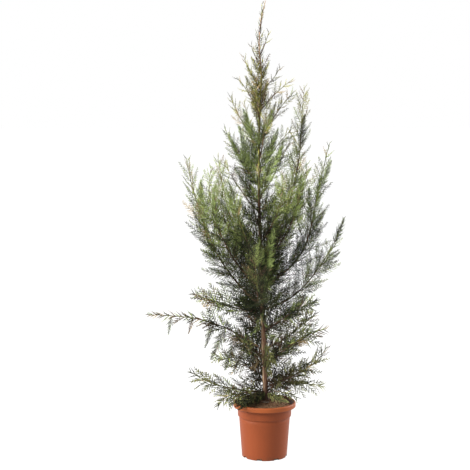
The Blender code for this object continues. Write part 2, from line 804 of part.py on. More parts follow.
main()
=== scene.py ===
# %% [markdown]
# # A young leyland cypress in its nursery pot
#
# The plant is a conifer that is grown for hedges.  A thin trunk carries limbs all round.  The
# limbs carry branches, the branches carry flat sprays, and each spray is clad in scale leaves so
# small that a spray looks like a green feather.  The imported model that we load first holds the
# trunk, every limb and the pot in their right places.  What this script adds is everything
# finer: bark, twigs, sprays, soil and the finish of the plastic.
#
# We load the model before anything else.  Nothing may outgrow it.

import math
import random
from typing import NamedTuple

import bmesh
import bpy
import numpy as np
from mathutils import Matrix, Vector, noise


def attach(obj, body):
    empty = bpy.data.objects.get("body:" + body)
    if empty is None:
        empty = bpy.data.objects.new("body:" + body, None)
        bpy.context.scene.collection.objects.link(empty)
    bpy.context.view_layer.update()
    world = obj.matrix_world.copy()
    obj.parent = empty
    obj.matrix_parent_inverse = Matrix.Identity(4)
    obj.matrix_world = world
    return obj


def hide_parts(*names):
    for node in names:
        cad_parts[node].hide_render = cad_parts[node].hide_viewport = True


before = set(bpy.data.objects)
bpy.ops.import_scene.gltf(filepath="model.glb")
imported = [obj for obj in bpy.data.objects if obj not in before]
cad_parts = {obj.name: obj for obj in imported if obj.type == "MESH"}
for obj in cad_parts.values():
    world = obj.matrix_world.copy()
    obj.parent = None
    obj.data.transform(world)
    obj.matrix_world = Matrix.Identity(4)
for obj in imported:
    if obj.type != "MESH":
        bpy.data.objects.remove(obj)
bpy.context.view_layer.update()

# %% [markdown]
# ## The camera
#
# The photograph was taken from 5.6 m away, a little left of the plant and at chest height, with
# a long lens that looks down by seven degrees.  A long lens hardly shows perspective, so the pot
# looks as tall as it is.  We aim by angle and not with a constraint, as a constraint would fight
# any other view.

# %% Place the camera
CAMERA_PLACE = Vector((-0.12328, -5.6, 1.62))
CAMERA_DIP = math.radians(7.0295)
CAMERA_LENS = 105.147
SENSOR = 36.0

scene = bpy.context.scene
camera_data = bpy.data.cameras.new("camera")
camera_data.lens = CAMERA_LENS
camera_data.sensor_width = SENSOR
camera = bpy.data.objects.new("camera", camera_data)
camera.location = CAMERA_PLACE
camera.rotation_euler = (math.pi / 2 - CAMERA_DIP, 0.0, 0.0)
scene.collection.objects.link(camera)
scene.camera = camera
print("camera looks from", [round(value, 2) for value in camera.location])

# %% [markdown]
# ## Light and floor
#
# The picture is a high-key studio shot: everything behind the plant is white, and the light is
# soft.  The shading on the pot tells where the lamps are.  Its left side is twice as bright as its
# front, so the main lamp stands far to the left, and its right edge is lifted again by a weaker
# lamp behind on the right.  A white world gives the even light, and a pale floor that runs on to
# the horizon closes the view.  The floor is nearly black to the lamps and glows just enough to be
# white.  A floor lit by the lamps would be much brighter than white, and would swallow every twig
# that is thinner than a pixel.  The Standard view keeps white white.

# %% Light the set
WHITE = (1.0, 1.0, 1.0)
WORLD_LIGHT = 1.0
LAMP_AIM = Vector((0.0, 0.0, 0.8))
KEY_PLACE = Vector((-4.9, -2.3, 3.3))
KEY_SIZE = 3.0
KEY_POWER = 1080.0
KEY_COLOUR = (1.0, 0.985, 0.96)
RIM_PLACE = Vector((4.4, 1.9, 2.6))
RIM_SIZE = 3.0
RIM_POWER = 520.0
FLOOR_SIZE = 60.0
FLOOR_GREY = (0.08, 0.08, 0.08)
FLOOR_GLOW = 0.93


def simple_material(name, colour, roughness, specular=0.25):
    """A Principled material with one colour on the shader's own socket."""
    material = bpy.data.materials.new(name)
    material.use_nodes = True
    shader = material.node_tree.nodes["Principled BSDF"]
    shader.inputs["Base Color"].default_value = (*colour, 1.0)
    shader.inputs["Roughness"].default_value = roughness
    shader.inputs["Specular IOR Level"].default_value = specular
    return material


def area_light(name, place, size, power, colour=WHITE):
    """A square lamp at a place, turned to face the plant."""
    data = bpy.data.lights.new(name, "AREA")
    data.size = size
    data.energy = power
    data.color = colour
    lamp = bpy.data.objects.new(name, data)
    lamp.location = place
    lamp.rotation_euler = (LAMP_AIM - place).to_track_quat("-Z", "Y").to_euler()
    scene.collection.objects.link(lamp)


scene.view_settings.view_transform = "Standard"
world = bpy.data.worlds.new("studio")
world.use_nodes = True
sky = world.node_tree.nodes["Background"].inputs
sky["Color"].default_value = (*WHITE, 1.0)
sky["Strength"].default_value = WORLD_LIGHT
scene.world = world
area_light("key_light", KEY_PLACE, KEY_SIZE, KEY_POWER, KEY_COLOUR)
area_light("rim_light", RIM_PLACE, RIM_SIZE, RIM_POWER)

bm = bmesh.new()
bmesh.ops.create_grid(bm, x_segments=1, y_segments=1, size=FLOOR_SIZE / 2)
floor_mesh = bpy.data.meshes.new("floor")
bm.to_mesh(floor_mesh)
bm.free()
floor_white = simple_material("floor_white", FLOOR_GREY, 0.9, 0.1)
glow = floor_white.node_tree.nodes["Principled BSDF"].inputs
glow["Emission Color"].default_value = (*WHITE, 1.0)
glow["Emission Strength"].default_value = FLOOR_GLOW
floor_mesh.materials.append(floor_white)
floor = bpy.data.objects.new("floor", floor_mesh)
scene.collection.objects.link(floor)
print("light set:", [lamp.name for lamp in bpy.data.lights])

# %% [markdown]
# ## A way to write materials
#
# A node tree is hard to read as code.  `Wire` wraps one socket, and Python's own operators on it
# add Math nodes, so that a mask reads as a formula.

# %% Wires


class Wire:
    """A socket of numbers, on which the operators of Python add Math nodes."""

    def __init__(self, finish, socket):
        self.finish = finish
        self.socket = socket

    def maths(self, operation, *values):
        """A Math node on these values, as a wire."""
        node = self.finish.node("ShaderNodeMath", {"operation": operation},
                                dict(enumerate(values)))
        return Wire(self.finish, node.outputs[0])

    def __add__(self, other):
        return self.maths("ADD", self, other)

    def __radd__(self, other):
        return self.maths("ADD", other, self)

    def __sub__(self, other):
        return self.maths("SUBTRACT", self, other)

    def __rsub__(self, other):
        return self.maths("SUBTRACT", other, self)

    def __mul__(self, other):
        return self.maths("MULTIPLY", self, other)

    def __rmul__(self, other):
        return self.maths("MULTIPLY", other, self)

    def __pow__(self, other):
        return self.maths("POWER", self, other)

    def between(self, low, high):
        """Nought below the one value, one above the other, and smooth from one to the other."""
        node = self.finish.node(
            "ShaderNodeMapRange", {"interpolation_type": "SMOOTHSTEP"},
            {"Value": self, "From Min": low, "From Max": high})
        return Wire(self.finish, node.outputs["Result"])


print("ready:", Wire.__name__, "with its operators")

# %% [markdown]
# `Finish` holds one material and adds every other kind of node through a single method, `node`,
# which takes the node's type, its settings and what goes into its sockets.

# %% Finishes


class Finish:
    """One material, whose nodes are added by formula."""

    def __init__(self, name, roughness, **constants):
        self.material = bpy.data.materials.new(name)
        self.material.use_nodes = True
        self.tree = self.material.node_tree
        self.shader = self.tree.nodes["Principled BSDF"]
        self.shader.inputs["Roughness"].default_value = roughness
        for socket, value in constants.items():
            self.shader.inputs[socket.replace("_", " ")].default_value = value

    def node(self, kind, settings=None, sockets=None):
        """Add a node: its type, its settings, and the values or links of its sockets."""
        node = self.tree.nodes.new(kind)
        for name, value in (settings or {}).items():
            setattr(node, name, value)
        for name, value in (sockets or {}).items():
            self.feed(node.inputs[name], value)
        return node

    def feed(self, socket, value):
        """Link a wire or a socket into a socket, or set its own value."""
        if isinstance(value, Wire):
            value = value.socket
        if isinstance(value, bpy.types.NodeSocket):
            self.tree.links.new(value, socket)
        elif isinstance(value, tuple) and socket.type == "RGBA" and len(value) == 3:
            socket.default_value = (*value, 1.0)
        else:
            socket.default_value = value

    def place(self, scale=(1.0, 1.0, 1.0), attribute=None):
        """Object coordinates, or an attribute of the mesh, scaled along each axis."""
        if attribute:
            source = self.node("ShaderNodeAttribute", {"attribute_name": attribute})
            origin = source.outputs["Vector"]
        else:
            origin = self.node("ShaderNodeTexCoord").outputs["Object"]
        mapping = self.node("ShaderNodeMapping", None, {"Vector": origin, "Scale": scale})
        return mapping.outputs["Vector"]

    def parts(self, place):
        """The three numbers of a place, as wires."""
        split = self.node("ShaderNodeSeparateXYZ", None, {"Vector": place})
        return [Wire(self, output) for output in split.outputs]

    def clouds(self, place, scale, detail=3.0, rough=0.55):
        """Fractal noise between 0 and 1."""
        node = self.node("ShaderNodeTexNoise", {"noise_dimensions": "3D"},
                         {"Vector": place, "Scale": scale, "Detail": detail, "Roughness": rough})
        return Wire(self, node.outputs["Fac"])

    def blend(self, share, first, second):
        """One colour over another, by a share."""
        node = self.node("ShaderNodeMix", {"data_type": "RGBA"}, {0: share, 6: first, 7: second})
        return node.outputs[2]

    def ramp(self, value, *stops):
        """A colour that follows a value through its stops."""
        node = self.node("ShaderNodeValToRGB", None, {"Fac": value})
        elements = node.color_ramp.elements
        while len(elements) < len(stops):
            elements.new(1.0)
        for element, (place, colour) in zip(elements, stops):
            element.position = place
            element.color = (*colour, 1.0)
        return node.outputs["Color"]

    def relief(self, value, distance, strength=1.0):
        """Bump from a value, as deep as the distance."""
        node = self.node("ShaderNodeBump", None,
                         {"Height": value, "Distance": distance, "Strength": strength})
        self.feed(self.shader.inputs["Normal"], node.outputs["Normal"])

    def paint(self, colour, roughness=None):
        """Feed the shader's colour, and its roughness where that varies."""
        self.feed(self.shader.inputs["Base Color"], colour)
        if roughness is not None:
            self.feed(self.shader.inputs["Roughness"], roughness)
        return self.material


print("ready:", Finish.__name__)

# %% [markdown]
# Every piece goes into the scene the same way: it rides with the plant's one body, and hides
# the solid that it replaces, if it does.

# %% Put a piece in its place


def placed(name, mesh, slot, replaces=()):
    """A piece from a mesh, riding with the plant."""
    piece = bpy.data.objects.new(name, mesh)
    scene.collection.objects.link(piece)
    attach(piece, "root")
    if replaces:
        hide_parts(*replaces)
    return piece


def finished(name, bm, material, slot, replaces=()):
    """A piece from a bmesh, in one material and shaded smooth."""
    mesh = bpy.data.meshes.new(name)
    bm.to_mesh(mesh)
    bm.free()
    mesh.materials.append(material)
    mesh.shade_smooth()
    return placed(name, mesh, slot, replaces)


def triangles(piece):
    """How many triangles a piece has."""
    return sum(len(face.vertices) - 2 for face in piece.data.polygons)


print("ready:", placed.__name__, finished.__name__)

# %% [markdown]
# ## The pot
#
# A nursery pot is moulded in one shot of coloured plastic.  It tapers so that pots stack, a
# collar near the top stops a stack from jamming, and the rolled lip is what you lift it by.  All
# of that is one outline turned round an axis, so we draw the outline, with its round stretches as
# arcs, and spin it.  The drainage notches at the foot are cut with a Boolean.

# %% Draw the pot's outline
POT_HEIGHT = 0.2315
POT_WALL = 0.0025
POT_FLOOR = 0.004
BASE_RADIUS = 0.094
FOOT_ROUND = 0.0022
BODY_TOP_RADIUS = 0.1065
BODY_RINGS = (0.03, 0.07, 0.11, 0.15)
COLLAR_RADIUS = 0.1115
COLLAR_FOOT = 0.170
COLLAR_STEP = 0.004
COLLAR_FLARE = 0.001
LINE_DEPTH = 0.0005
LINE_HALF = 0.0012
LINE_HEIGHT = 0.1655
LIP_RADIUS = 0.130
LIP_FOOT = 0.2105
LIP_ROLL = 0.0055
LIP_WIDTH = 0.0070
LIP_EDGE = 0.001
LIP_THROAT = 0.004
THROAT_ROUND = 0.0015
ARC_STEPS = 7


def arc(out, up, radius, start, end, steps=ARC_STEPS):
    """Points of an arc in the plane of the outline, from one angle in degrees to another."""
    turns = [math.radians(start + (end - start) * step / steps) for step in range(steps + 1)]
    return [(out + radius * math.cos(turn), up + radius * math.sin(turn)) for turn in turns]


def body_radius(height):
    """Radius of the tapered body at a height."""
    return BASE_RADIUS + (BODY_TOP_RADIUS - BASE_RADIUS) * height / COLLAR_FOOT


def pot_outline():
    """Half section of the pot, from the middle of its underside out, up and back inside."""
    small = COLLAR_STEP / 2
    foot = arc(BASE_RADIUS - FOOT_ROUND, FOOT_ROUND, FOOT_ROUND, -90, 0, 5)
    body = [(body_radius(height), height) for height in BODY_RINGS]
    line = [(body_radius(LINE_HEIGHT) - depth, LINE_HEIGHT + share * LINE_HALF)
            for share, depth in ((-1, 0.0), (-1 / 3, LINE_DEPTH), (1 / 3, LINE_DEPTH), (1, 0.0))]
    step_out = arc(BODY_TOP_RADIUS + small, COLLAR_FOOT, small, 180, 90, 4)
    step_up = arc(COLLAR_RADIUS - small, COLLAR_FOOT + 2 * small, small, -90, 0, 4)
    throat = arc(COLLAR_RADIUS + COLLAR_FLARE + THROAT_ROUND, LIP_FOOT - THROAT_ROUND,
                 THROAT_ROUND, 180, 90, 4)
    outer = arc(LIP_RADIUS - LIP_ROLL / 2, LIP_FOOT + LIP_ROLL / 2, LIP_ROLL / 2, -90, 0)
    over = arc(LIP_RADIUS - LIP_ROLL, POT_HEIGHT - LIP_ROLL, LIP_ROLL, 0, 90)
    inner_lip = LIP_RADIUS - LIP_WIDTH
    wall = COLLAR_RADIUS - POT_WALL
    return ([(0.0, 0.0)] + foot + body + line + step_out + step_up + throat + outer + over
            + [(inner_lip, POT_HEIGHT - LIP_EDGE), (inner_lip - LIP_EDGE, POT_HEIGHT - 3 * LIP_EDGE),
               (wall + COLLAR_FLARE, LIP_FOOT + LIP_THROAT), (wall, COLLAR_FOOT + 2 * COLLAR_STEP),
               (body_radius(COLLAR_FOOT) - POT_WALL, COLLAR_FOOT),
               (body_radius(POT_FLOOR) - POT_WALL, POT_FLOOR), (0.0, POT_FLOOR)])


def turned(outline, sides):
    """A bmesh of an outline of (radius, height) points turned once round the Z axis."""
    bm = bmesh.new()
    corners = [bm.verts.new((radius, 0.0, height)) for radius, height in outline]
    edges = [bm.edges.new(pair) for pair in zip(corners, corners[1:])]
    bmesh.ops.spin(bm, geom=corners + edges, cent=(0, 0, 0), axis=(0, 0, 1),
                   angle=math.tau, steps=sides, use_merge=True, use_duplicate=False)
    bmesh.ops.remove_doubles(bm, verts=bm.verts, dist=0.00002)
    bmesh.ops.recalc_face_normals(bm, faces=bm.faces)
    return bm


print("points in the pot's outline:", len(pot_outline()))

# %% [markdown]
# The plastic is the colour of baked clay.  It is never one colour: the filler clouds it a
# little, handling leaves pale scuffs, and wet soil leaves a stain round the foot and on the lip.
# The inside of the wall near the rim is painted dark, as painted shade, and the outer face of the
# lip is painted brighter than the rest, as a painted highlight.  All of that is noise and distance
# on Object coordinates, and each mask is one formula.

# %% The pot's plastic
CLAY = (0.180, 0.0425, 0.0130)
CLAY_DARK = (0.143, 0.0300, 0.0090)
CLAY_PAINTED_HIGHLIGHT = (0.235, 0.060, 0.016)
CLAY_PALE = (0.34, 0.115, 0.055)
STAIN = (0.075, 0.030, 0.016)
INSIDE_PAINTED_SHADE = (0.045, 0.018, 0.010)


def make_pot_plastic():
    """Clay-coloured moulded plastic, scuffed, stained at its foot and lip, with painted shade inside
    and a painted highlight on the lip.
    """
    finish = Finish("terracotta_plastic", 0.42, Specular_IOR_Level=0.14)
    place = finish.place()
    clouds = finish.clouds(place, 11.0)
    streaks = finish.clouds(finish.place((90.0, 90.0, 6.0)), 1.0)
    scuffs = finish.clouds(finish.place((260.0, 260.0, 900.0)), 1.0, 4.0).between(0.66, 0.74)
    scuffs = scuffs * finish.clouds(place, 34.0).between(0.48, 0.62)
    across, back, height = finish.parts(place)
    out = (across * across + back * back) ** 0.5
    foot = (1.0 - height.between(0.0, 0.022)) * finish.clouds(place, 60.0).between(0.35, 0.75)
    lip = height.between(0.227, POT_HEIGHT) * finish.clouds(place, 48.0).between(0.45, 0.70)
    colour = finish.blend(clouds * 0.55 + streaks * 0.35, CLAY_DARK, CLAY)
    # Painted highlight: the outer face of the lip is painted brighter.
    rim = height.between(LIP_FOOT, LIP_FOOT + 0.004) * out.between(0.1225, 0.1265)
    colour = finish.blend(rim * 0.8, colour, CLAY_PAINTED_HIGHLIGHT)
    colour = finish.blend(scuffs * 0.35, colour, CLAY_PALE)
    # Painted shade: the inside of the wall near the rim is painted dark.
    inside = height.between(LIP_FOOT, LIP_FOOT + 0.006) * (1.0 - out.between(0.1195, 0.1225))
    colour = finish.blend(foot * 0.55 + lip * 0.35, colour, STAIN)
    colour = finish.blend(inside * 0.85, colour, INSIDE_PAINTED_SHADE)
    grain = finish.clouds(place, 1400.0, 2.0)
    finish.relief(grain + streaks * 0.6, 0.00006, 0.5)
    return finish.paint(colour, 0.36 + clouds * 0.16 + scuffs * 0.2)


pot_plastic = make_pot_plastic()
print("made", pot_plastic.name)

# %% Turn the pot and cut its notches
POT_SIDES = 144
NOTCHES = 8
NOTCH_TURN = 31.0
NOTCH_WIDTH = 0.022
NOTCH_HEIGHT = 0.008
NOTCH_DEPTH = 0.010
NOTCH_ROUND = 0.0018
POT_SHARP = 38.0

# The faces that the notches cut are nearly black: painted shade inside the notches.
notch_dirt = simple_material("notch_dirt", (0.016, 0.009, 0.006), 0.9, 0.1)


def make_pot():
    """The pot, with drainage notches through the corner of its wall and floor."""
    pot = finished("nursery_pot", turned(pot_outline(), POT_SIDES), pot_plastic,
                   "terracotta_plastic", ("pot",))
    bm = bmesh.new()
    reach = BASE_RADIUS + FOOT_ROUND - NOTCH_DEPTH / 2
    for number in range(NOTCHES):
        angle = math.radians(NOTCH_TURN) + math.tau * number / NOTCHES
        turn = Matrix.Rotation(angle, 3, "Z")
        block = bmesh.ops.create_cube(bm, size=1.0)["verts"]
        bmesh.ops.scale(bm, verts=block, vec=(NOTCH_DEPTH, NOTCH_WIDTH, 2 * NOTCH_HEIGHT))
        bmesh.ops.translate(bm, verts=block, vec=(reach, 0, 0))
        bmesh.ops.rotate(bm, verts=block, cent=(0, 0, 0), matrix=turn)
    level = [edge for edge in bm.edges if abs(edge.verts[0].co.z - edge.verts[1].co.z) < 0.001]
    bmesh.ops.bevel(bm, geom=level, offset=NOTCH_ROUND, segments=3, profile=0.5,
                    affect="EDGES", material=-1)
    # The cut faces take the painted shade.
    for face in bm.faces:
        face.material_index = 1
    mesh = bpy.data.meshes.new("notches")
    bm.to_mesh(mesh)
    bm.free()
    for material in (pot_plastic, notch_dirt):
        mesh.materials.append(material)
    pot.data.materials.append(notch_dirt)
    cutter = bpy.data.objects.new("notches", mesh)
    scene.collection.objects.link(cutter)
    cut = pot.modifiers.new("notches", "BOOLEAN")
    cut.operation = "DIFFERENCE"
    cut.solver = "EXACT"
    cut.object = cutter
    graph = bpy.context.evaluated_depsgraph_get()
    mesh = bpy.data.meshes.new_from_object(pot.evaluated_get(graph), depsgraph=graph)
    pot.modifiers.clear()
    pot.data = mesh
    pot.data.shade_smooth()
    pot.data.set_sharp_from_angle(angle=math.radians(POT_SHARP))
    bpy.data.objects.remove(cutter, do_unlink=True)
    return pot


pot = make_pot()
print("pot:", triangles(pot), "triangles")

# %% [markdown]
# ## The soil
#
# The pot is filled with peat, which dries to a crust of crumbs and fibres.  The root ball stands
# up as a low mound.  We spin the same outline as the solid's, with many rings on top, and push
# its upper points about with fractal noise.  Loose crumbs, grit and fibres lie on it, each kind
# as one joined mesh, because hundreds of objects would be slow.

# %% Shape the soil
GAP = 0.0003
SOIL_FOOT = POT_FLOOR + GAP
SOIL_EDGE = 0.220
SOIL_SHOULDER = 0.229
SOIL_TOP = 0.236
SHOULDER_RADIUS = 0.072
MOUND_RADIUS = 0.030
SOIL_RINGS = 44
SOIL_SIDES = 168
SOIL_ROUGH = 0.0032
SOIL_SUNK = 0.3
SOIL_INSIDE = COLLAR_RADIUS - POT_WALL - GAP


def soil_height(radius):
    """Height of the soil's surface at a distance from the axis."""
    if radius > SHOULDER_RADIUS:
        share = (SOIL_INSIDE - radius) / (SOIL_INSIDE - SHOULDER_RADIUS)
        return SOIL_EDGE + (SOIL_SHOULDER - SOIL_EDGE) * share
    share = min((SHOULDER_RADIUS - radius) / (SHOULDER_RADIUS - MOUND_RADIUS), 1.0)
    return SOIL_SHOULDER + (SOIL_TOP - SOIL_SHOULDER) * share


def soil_bumps(place):
    """How far the surface lies above or below its mean height at a place."""
    coarse = noise.fractal(place * 42.0, 0.6, 2.1, 4)
    fine = noise.fractal(place * 210.0, 0.8, 2.0, 3)
    return SOIL_ROUGH * (0.9 * coarse + 0.38 * fine - SOIL_SUNK)


def make_soil(material):
    """The root ball and soil, with a crusty surface."""
    outline = [(0.0, SOIL_FOOT), (body_radius(SOIL_FOOT) - POT_WALL - GAP, SOIL_FOOT),
               (body_radius(COLLAR_FOOT) - POT_WALL - GAP, COLLAR_FOOT),
               (SOIL_INSIDE, COLLAR_FOOT + 2 * COLLAR_STEP)]
    for number in range(SOIL_RINGS + 1):
        radius = SOIL_INSIDE * (1 - number / SOIL_RINGS)
        outline.append((radius, soil_height(radius)))
    bm = turned(outline, SOIL_SIDES)
    for vert in bm.verts:
        if vert.co.z > SOIL_EDGE - 0.001:
            vert.co.z += soil_bumps(vert.co)
    return finished("potting_soil", bm, material, "soil", ("soil",))


PEAT_DARK = (0.020, 0.012, 0.008)
PEAT = (0.100, 0.053, 0.028)
PEAT_PALE = (0.25, 0.155, 0.090)


def make_peat():
    """Damp peat: dark in its hollows, paler where it has dried."""
    finish = Finish("peat", 0.95, Specular_IOR_Level=0.15)
    place = finish.place()
    coarse = finish.clouds(place, 70.0, 5.0, 0.65)
    fine = finish.clouds(place, 420.0, 4.0, 0.7)
    value = coarse * 0.55 + fine * 0.45
    colour = finish.ramp(value, (0.30, PEAT_DARK), (0.50, PEAT), (0.68, PEAT_PALE))
    finish.relief(fine, 0.0012, 0.9)
    return finish.paint(colour)


peat = make_peat()
soil = make_soil(peat)
print("soil:", triangles(soil), "triangles")

# %% Scatter crumbs and fibres on the soil
CRUMBS = 1500
CRUMB_SIZE = (0.0012, 0.0046)
CRUMB_SPREAD = 0.104
GRITS = 70
GRIT_SIZE = (0.002, 0.0045)
GRIT_SPREAD = 0.016
GRIT_MIDDLE = Vector((0.004, -0.030, 0.0))
FIBRES = 420
FIBRE_LENGTH = (0.008, 0.026)
FIBRE_RADIUS = 0.00045
FIBRE_SPREAD = 0.092


def scattered_place(draw, spread):
    """A place on the soil, by area up to a distance from the axis."""
    radius = spread * math.sqrt(draw.random())
    turn = draw.uniform(0, math.tau)
    place = Vector((radius * math.cos(turn), radius * math.sin(turn), soil_height(radius)))
    place.z += soil_bumps(place)
    return place


def make_crumbs(name, count, sizes, spread, middle, material, seed):
    """Rough crumbs, each a squashed icosphere of twenty faces, half sunk in the soil."""
    draw = random.Random(seed)
    bm = bmesh.new()
    for _ in range(count):
        size = draw.uniform(*sizes)
        crumb = bmesh.ops.create_icosphere(bm, subdivisions=1, radius=size / 2)["verts"]
        for vert in crumb:
            vert.co *= draw.uniform(0.7, 1.25)
        bmesh.ops.scale(bm, verts=crumb, vec=(draw.uniform(0.7, 1.5), 1.0, draw.uniform(0.4, 0.8)))
        spin = Matrix.Rotation(draw.uniform(0, math.tau), 3, "Z")
        bmesh.ops.rotate(bm, verts=crumb, cent=(0, 0, 0), matrix=spin)
        place = scattered_place(draw, spread) + middle
        bmesh.ops.translate(bm, verts=crumb, vec=place + Vector((0, 0, size * 0.12)))
    return finished(name, bm, material, "soil")


def make_fibres(material):
    """Dead rootlets and straws, each a triangular prism that lies on the soil."""
    draw = random.Random("fibres")
    bm = bmesh.new()
    for _ in range(FIBRES):
        length = draw.uniform(*FIBRE_LENGTH)
        fibre = bmesh.ops.create_cone(bm, cap_ends=True, segments=3, radius1=FIBRE_RADIUS,
                                      radius2=FIBRE_RADIUS / 2, depth=length)["verts"]
        turn = (Matrix.Rotation(draw.uniform(0, math.tau), 3, "Z")
                @ Matrix.Rotation(math.radians(90 + draw.uniform(-9, 9)), 3, "Y"))
        bmesh.ops.rotate(bm, verts=fibre, cent=(0, 0, 0), matrix=turn)
        place = scattered_place(draw, FIBRE_SPREAD) + Vector((0, 0, 0.0012))
        bmesh.ops.translate(bm, verts=fibre, vec=place)
    return finished("soil_fibres", bm, material, "soil")


grit_stone = simple_material("grit_stone", (0.17, 0.14, 0.11), 0.8)
straw = simple_material("straw", (0.20, 0.110, 0.055), 0.8)
litter = (make_crumbs("soil_crumbs", CRUMBS, CRUMB_SIZE, CRUMB_SPREAD, Vector(), peat, "crumbs"),
          make_crumbs("soil_grit", GRITS, GRIT_SIZE, GRIT_SPREAD, GRIT_MIDDLE, grit_stone, "grit"),
          make_fibres(straw))
print("litter:", {piece.name: triangles(piece) for piece in litter})

# %% [markdown]
# ## How the plant grows
#
# Every limb follows one rule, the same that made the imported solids, and it is written again here
# so that finer growth starts from the right places.  First comes what differs from limb to limb:
# the height of its foot on the trunk, its bearing in degrees, its length, how steeply it climbs
# from stretch to stretch, the length of its sprays, how they lift, and how much of it is bare.

# %% The limbs, from the pot to the tip


class Limb(NamedTuple):
    """One limb: where it leaves the trunk, where it goes, and the growth that it bears."""
    name: str
    foot: float
    toward: float
    length: float
    rises: tuple
    spray: float
    lift: float = 0.35
    bare: float = 0.0


LIMBS = tuple(Limb(*row) for row in (
    # Low limbs that hang out over the rim
    ("low_left", 0.262, 188, 0.34, (12, 10, 20, 40), 0.120, -0.25),
    ("rim_left", 0.270, 224, 0.29, (10, 6, 0, -42), 0.110, -0.45),
    ("low_right", 0.266, 350, 0.26, (38, 12, -2, -14), 0.110, -0.30),
    ("rim_right", 0.262, 312, 0.20, (26, 10, -4, -20), 0.075, -0.10),
    ("low_right_back", 0.282, 30, 0.27, (22, 20, 18), 0.115, -0.15),
    ("low_left_back", 0.335, 158, 0.26, (26, 16, 10), 0.120, -0.10),
    ("low_right_rising", 0.290, 355, 0.32, (16, 30, 62), 0.115, 0.15),
    ("low_back", 0.292, 98, 0.28, (24, 18, 24), 0.120, -0.10),

    # Limbs of the open part below the crown
    ("long_left", 0.438, 182, 0.53, (44, 24, 8, 3), 0.120, -0.10, 0.24),
    ("right_fan", 0.372, 338, 0.33, (44, 42, 30, 12), 0.125, 0.05),
    ("right_back", 0.450, 38, 0.31, (12, 24, 36), 0.130, 0.10),
    ("right_front", 0.520, 322, 0.32, (38, 32, 24), 0.125, 0.05),
    ("front_left_low", 0.372, 232, 0.27, (38, 40, 48), 0.125, 0.10),
    ("back_low", 0.430, 104, 0.33, (34, 40, 50), 0.130, 0.15),

    # Main limbs of the crown
    ("tall_left", 0.621, 180, 0.72, (44, 56, 72, 84), 0.165, 0.35, 0.18),
    ("short_left", 0.598, 158, 0.33, (6, 12, 18), 0.135, 0.15),
    ("left_front", 0.700, 215, 0.61, (42, 50, 72, 104), 0.155, 0.35, 0.19),
    ("left_inner", 0.805, 150, 0.42, (36, 44, 68, 96), 0.140, 0.35, 0.19),
    ("wide_right", 0.615, 0, 0.54, (18, 42, 60, 76), 0.150, 0.30, 0.18),
    ("tall_right", 0.700, 10, 0.70, (38, 42, 68, 80, 80, 76), 0.160, 0.35, 0.18),
    ("front_right_tall", 0.800, 328, 0.50, (42, 56, 72, 84), 0.145, 0.35, 0.18),
    ("inner_right", 0.840, 20, 0.74, (42, 72, 88, 80), 0.140, 0.35, 0.17),
    ("front_centre", 0.890, 300, 0.38, (42, 46, 66, 100), 0.135, 0.35),
    ("front", 0.600, 262, 0.44, (30, 50, 72), 0.150, 0.30),
    ("front_left", 0.770, 240, 0.44, (42, 56, 78), 0.145, 0.35),
    ("back", 0.620, 80, 0.54, (34, 56, 76), 0.155, 0.30),
    ("back_left", 0.715, 128, 0.62, (42, 60, 80), 0.160, 0.35, 0.18),
    ("back_right", 0.760, 58, 0.62, (42, 62, 80), 0.160, 0.35, 0.18),

    # Shorter limbs of the upper crown
    ("high_left", 1.020, 202, 0.27, (48, 52, 66), 0.120),
    ("upper_left", 1.130, 172, 0.28, (52, 58, 70), 0.115),
    ("high_right", 1.085, 36, 0.30, (48, 56, 66), 0.120),
    ("upper_right", 1.180, 344, 0.25, (60, 54, 44), 0.110),
    ("high_front", 0.985, 268, 0.34, (48, 62, 76), 0.125),
    ("high_back", 1.000, 96, 0.38, (48, 62, 76), 0.130),
    ("upper_front", 1.225, 284, 0.27, (56, 62, 72), 0.110),
    ("upper_back", 1.215, 118, 0.30, (56, 64, 74), 0.115),
    ("crown_left", 1.275, 166, 0.26, (57, 60, 67), 0.100),
    ("crown_right", 1.310, 14, 0.26, (58, 58, 40), 0.100),

    # The narrow top and the leader
    ("peak_left", 1.428, 188, 0.18, (64, 58, 48), 0.075),
    ("peak_right", 1.436, 350, 0.19, (50, 46, 30), 0.075),
    ("peak_front", 1.395, 258, 0.20, (56, 62, 70), 0.080),
    ("peak_back", 1.420, 82, 0.20, (56, 62, 70), 0.080),
    ("spire_left", 1.520, 172, 0.16, (58, 62, 70), 0.062),
    ("spire_right", 1.505, 28, 0.15, (44, 48, 58), 0.062),
    ("leader_left", 1.600, 198, 0.12, (60, 68, 76), 0.048),
    ("leader_right", 1.660, 14, 0.11, (60, 70, 78), 0.044),
    ("leader_tip", 1.755, 300, 0.12, (72, 82, 86), 0.034),
))
print("limbs:", len(LIMBS), "metres of limb:", round(sum(limb.length for limb in LIMBS), 1))

# %% [markdown]
# The trunk bows to the left, its leader sways, and its foot flares.  Its axis and its radius are
# formulas of the height.

# %% The rule for the trunk
UP = Vector((0.0, 0.0, 1.0))
TRUNK_FOOT = SOIL_TOP + GAP
TRUNK_TIP = 1.881
TRUNK_BASE = Vector((0.004, 0.010, 0.0))
TRUNK_BOW = 0.027
TRUNK_BACK_BOW = 0.012
BOW_LATENESS = 1.3
LEADER_SWAY = 0.016
LEADER_FOOT = 1.600
TRUNK_RADIUS = 0.0100
TRUNK_TAPER = 0.9
TRUNK_TIP_RADIUS = 0.0012
FLARE = 0.0065
FLARE_HEIGHT = 0.018


def trunk_share(height):
    """How far up the trunk a height lies, from 0 at the soil to 1 at the tip."""
    return min(max((height - TRUNK_FOOT) / (TRUNK_TIP - TRUNK_FOOT), 0.0), 1.0)


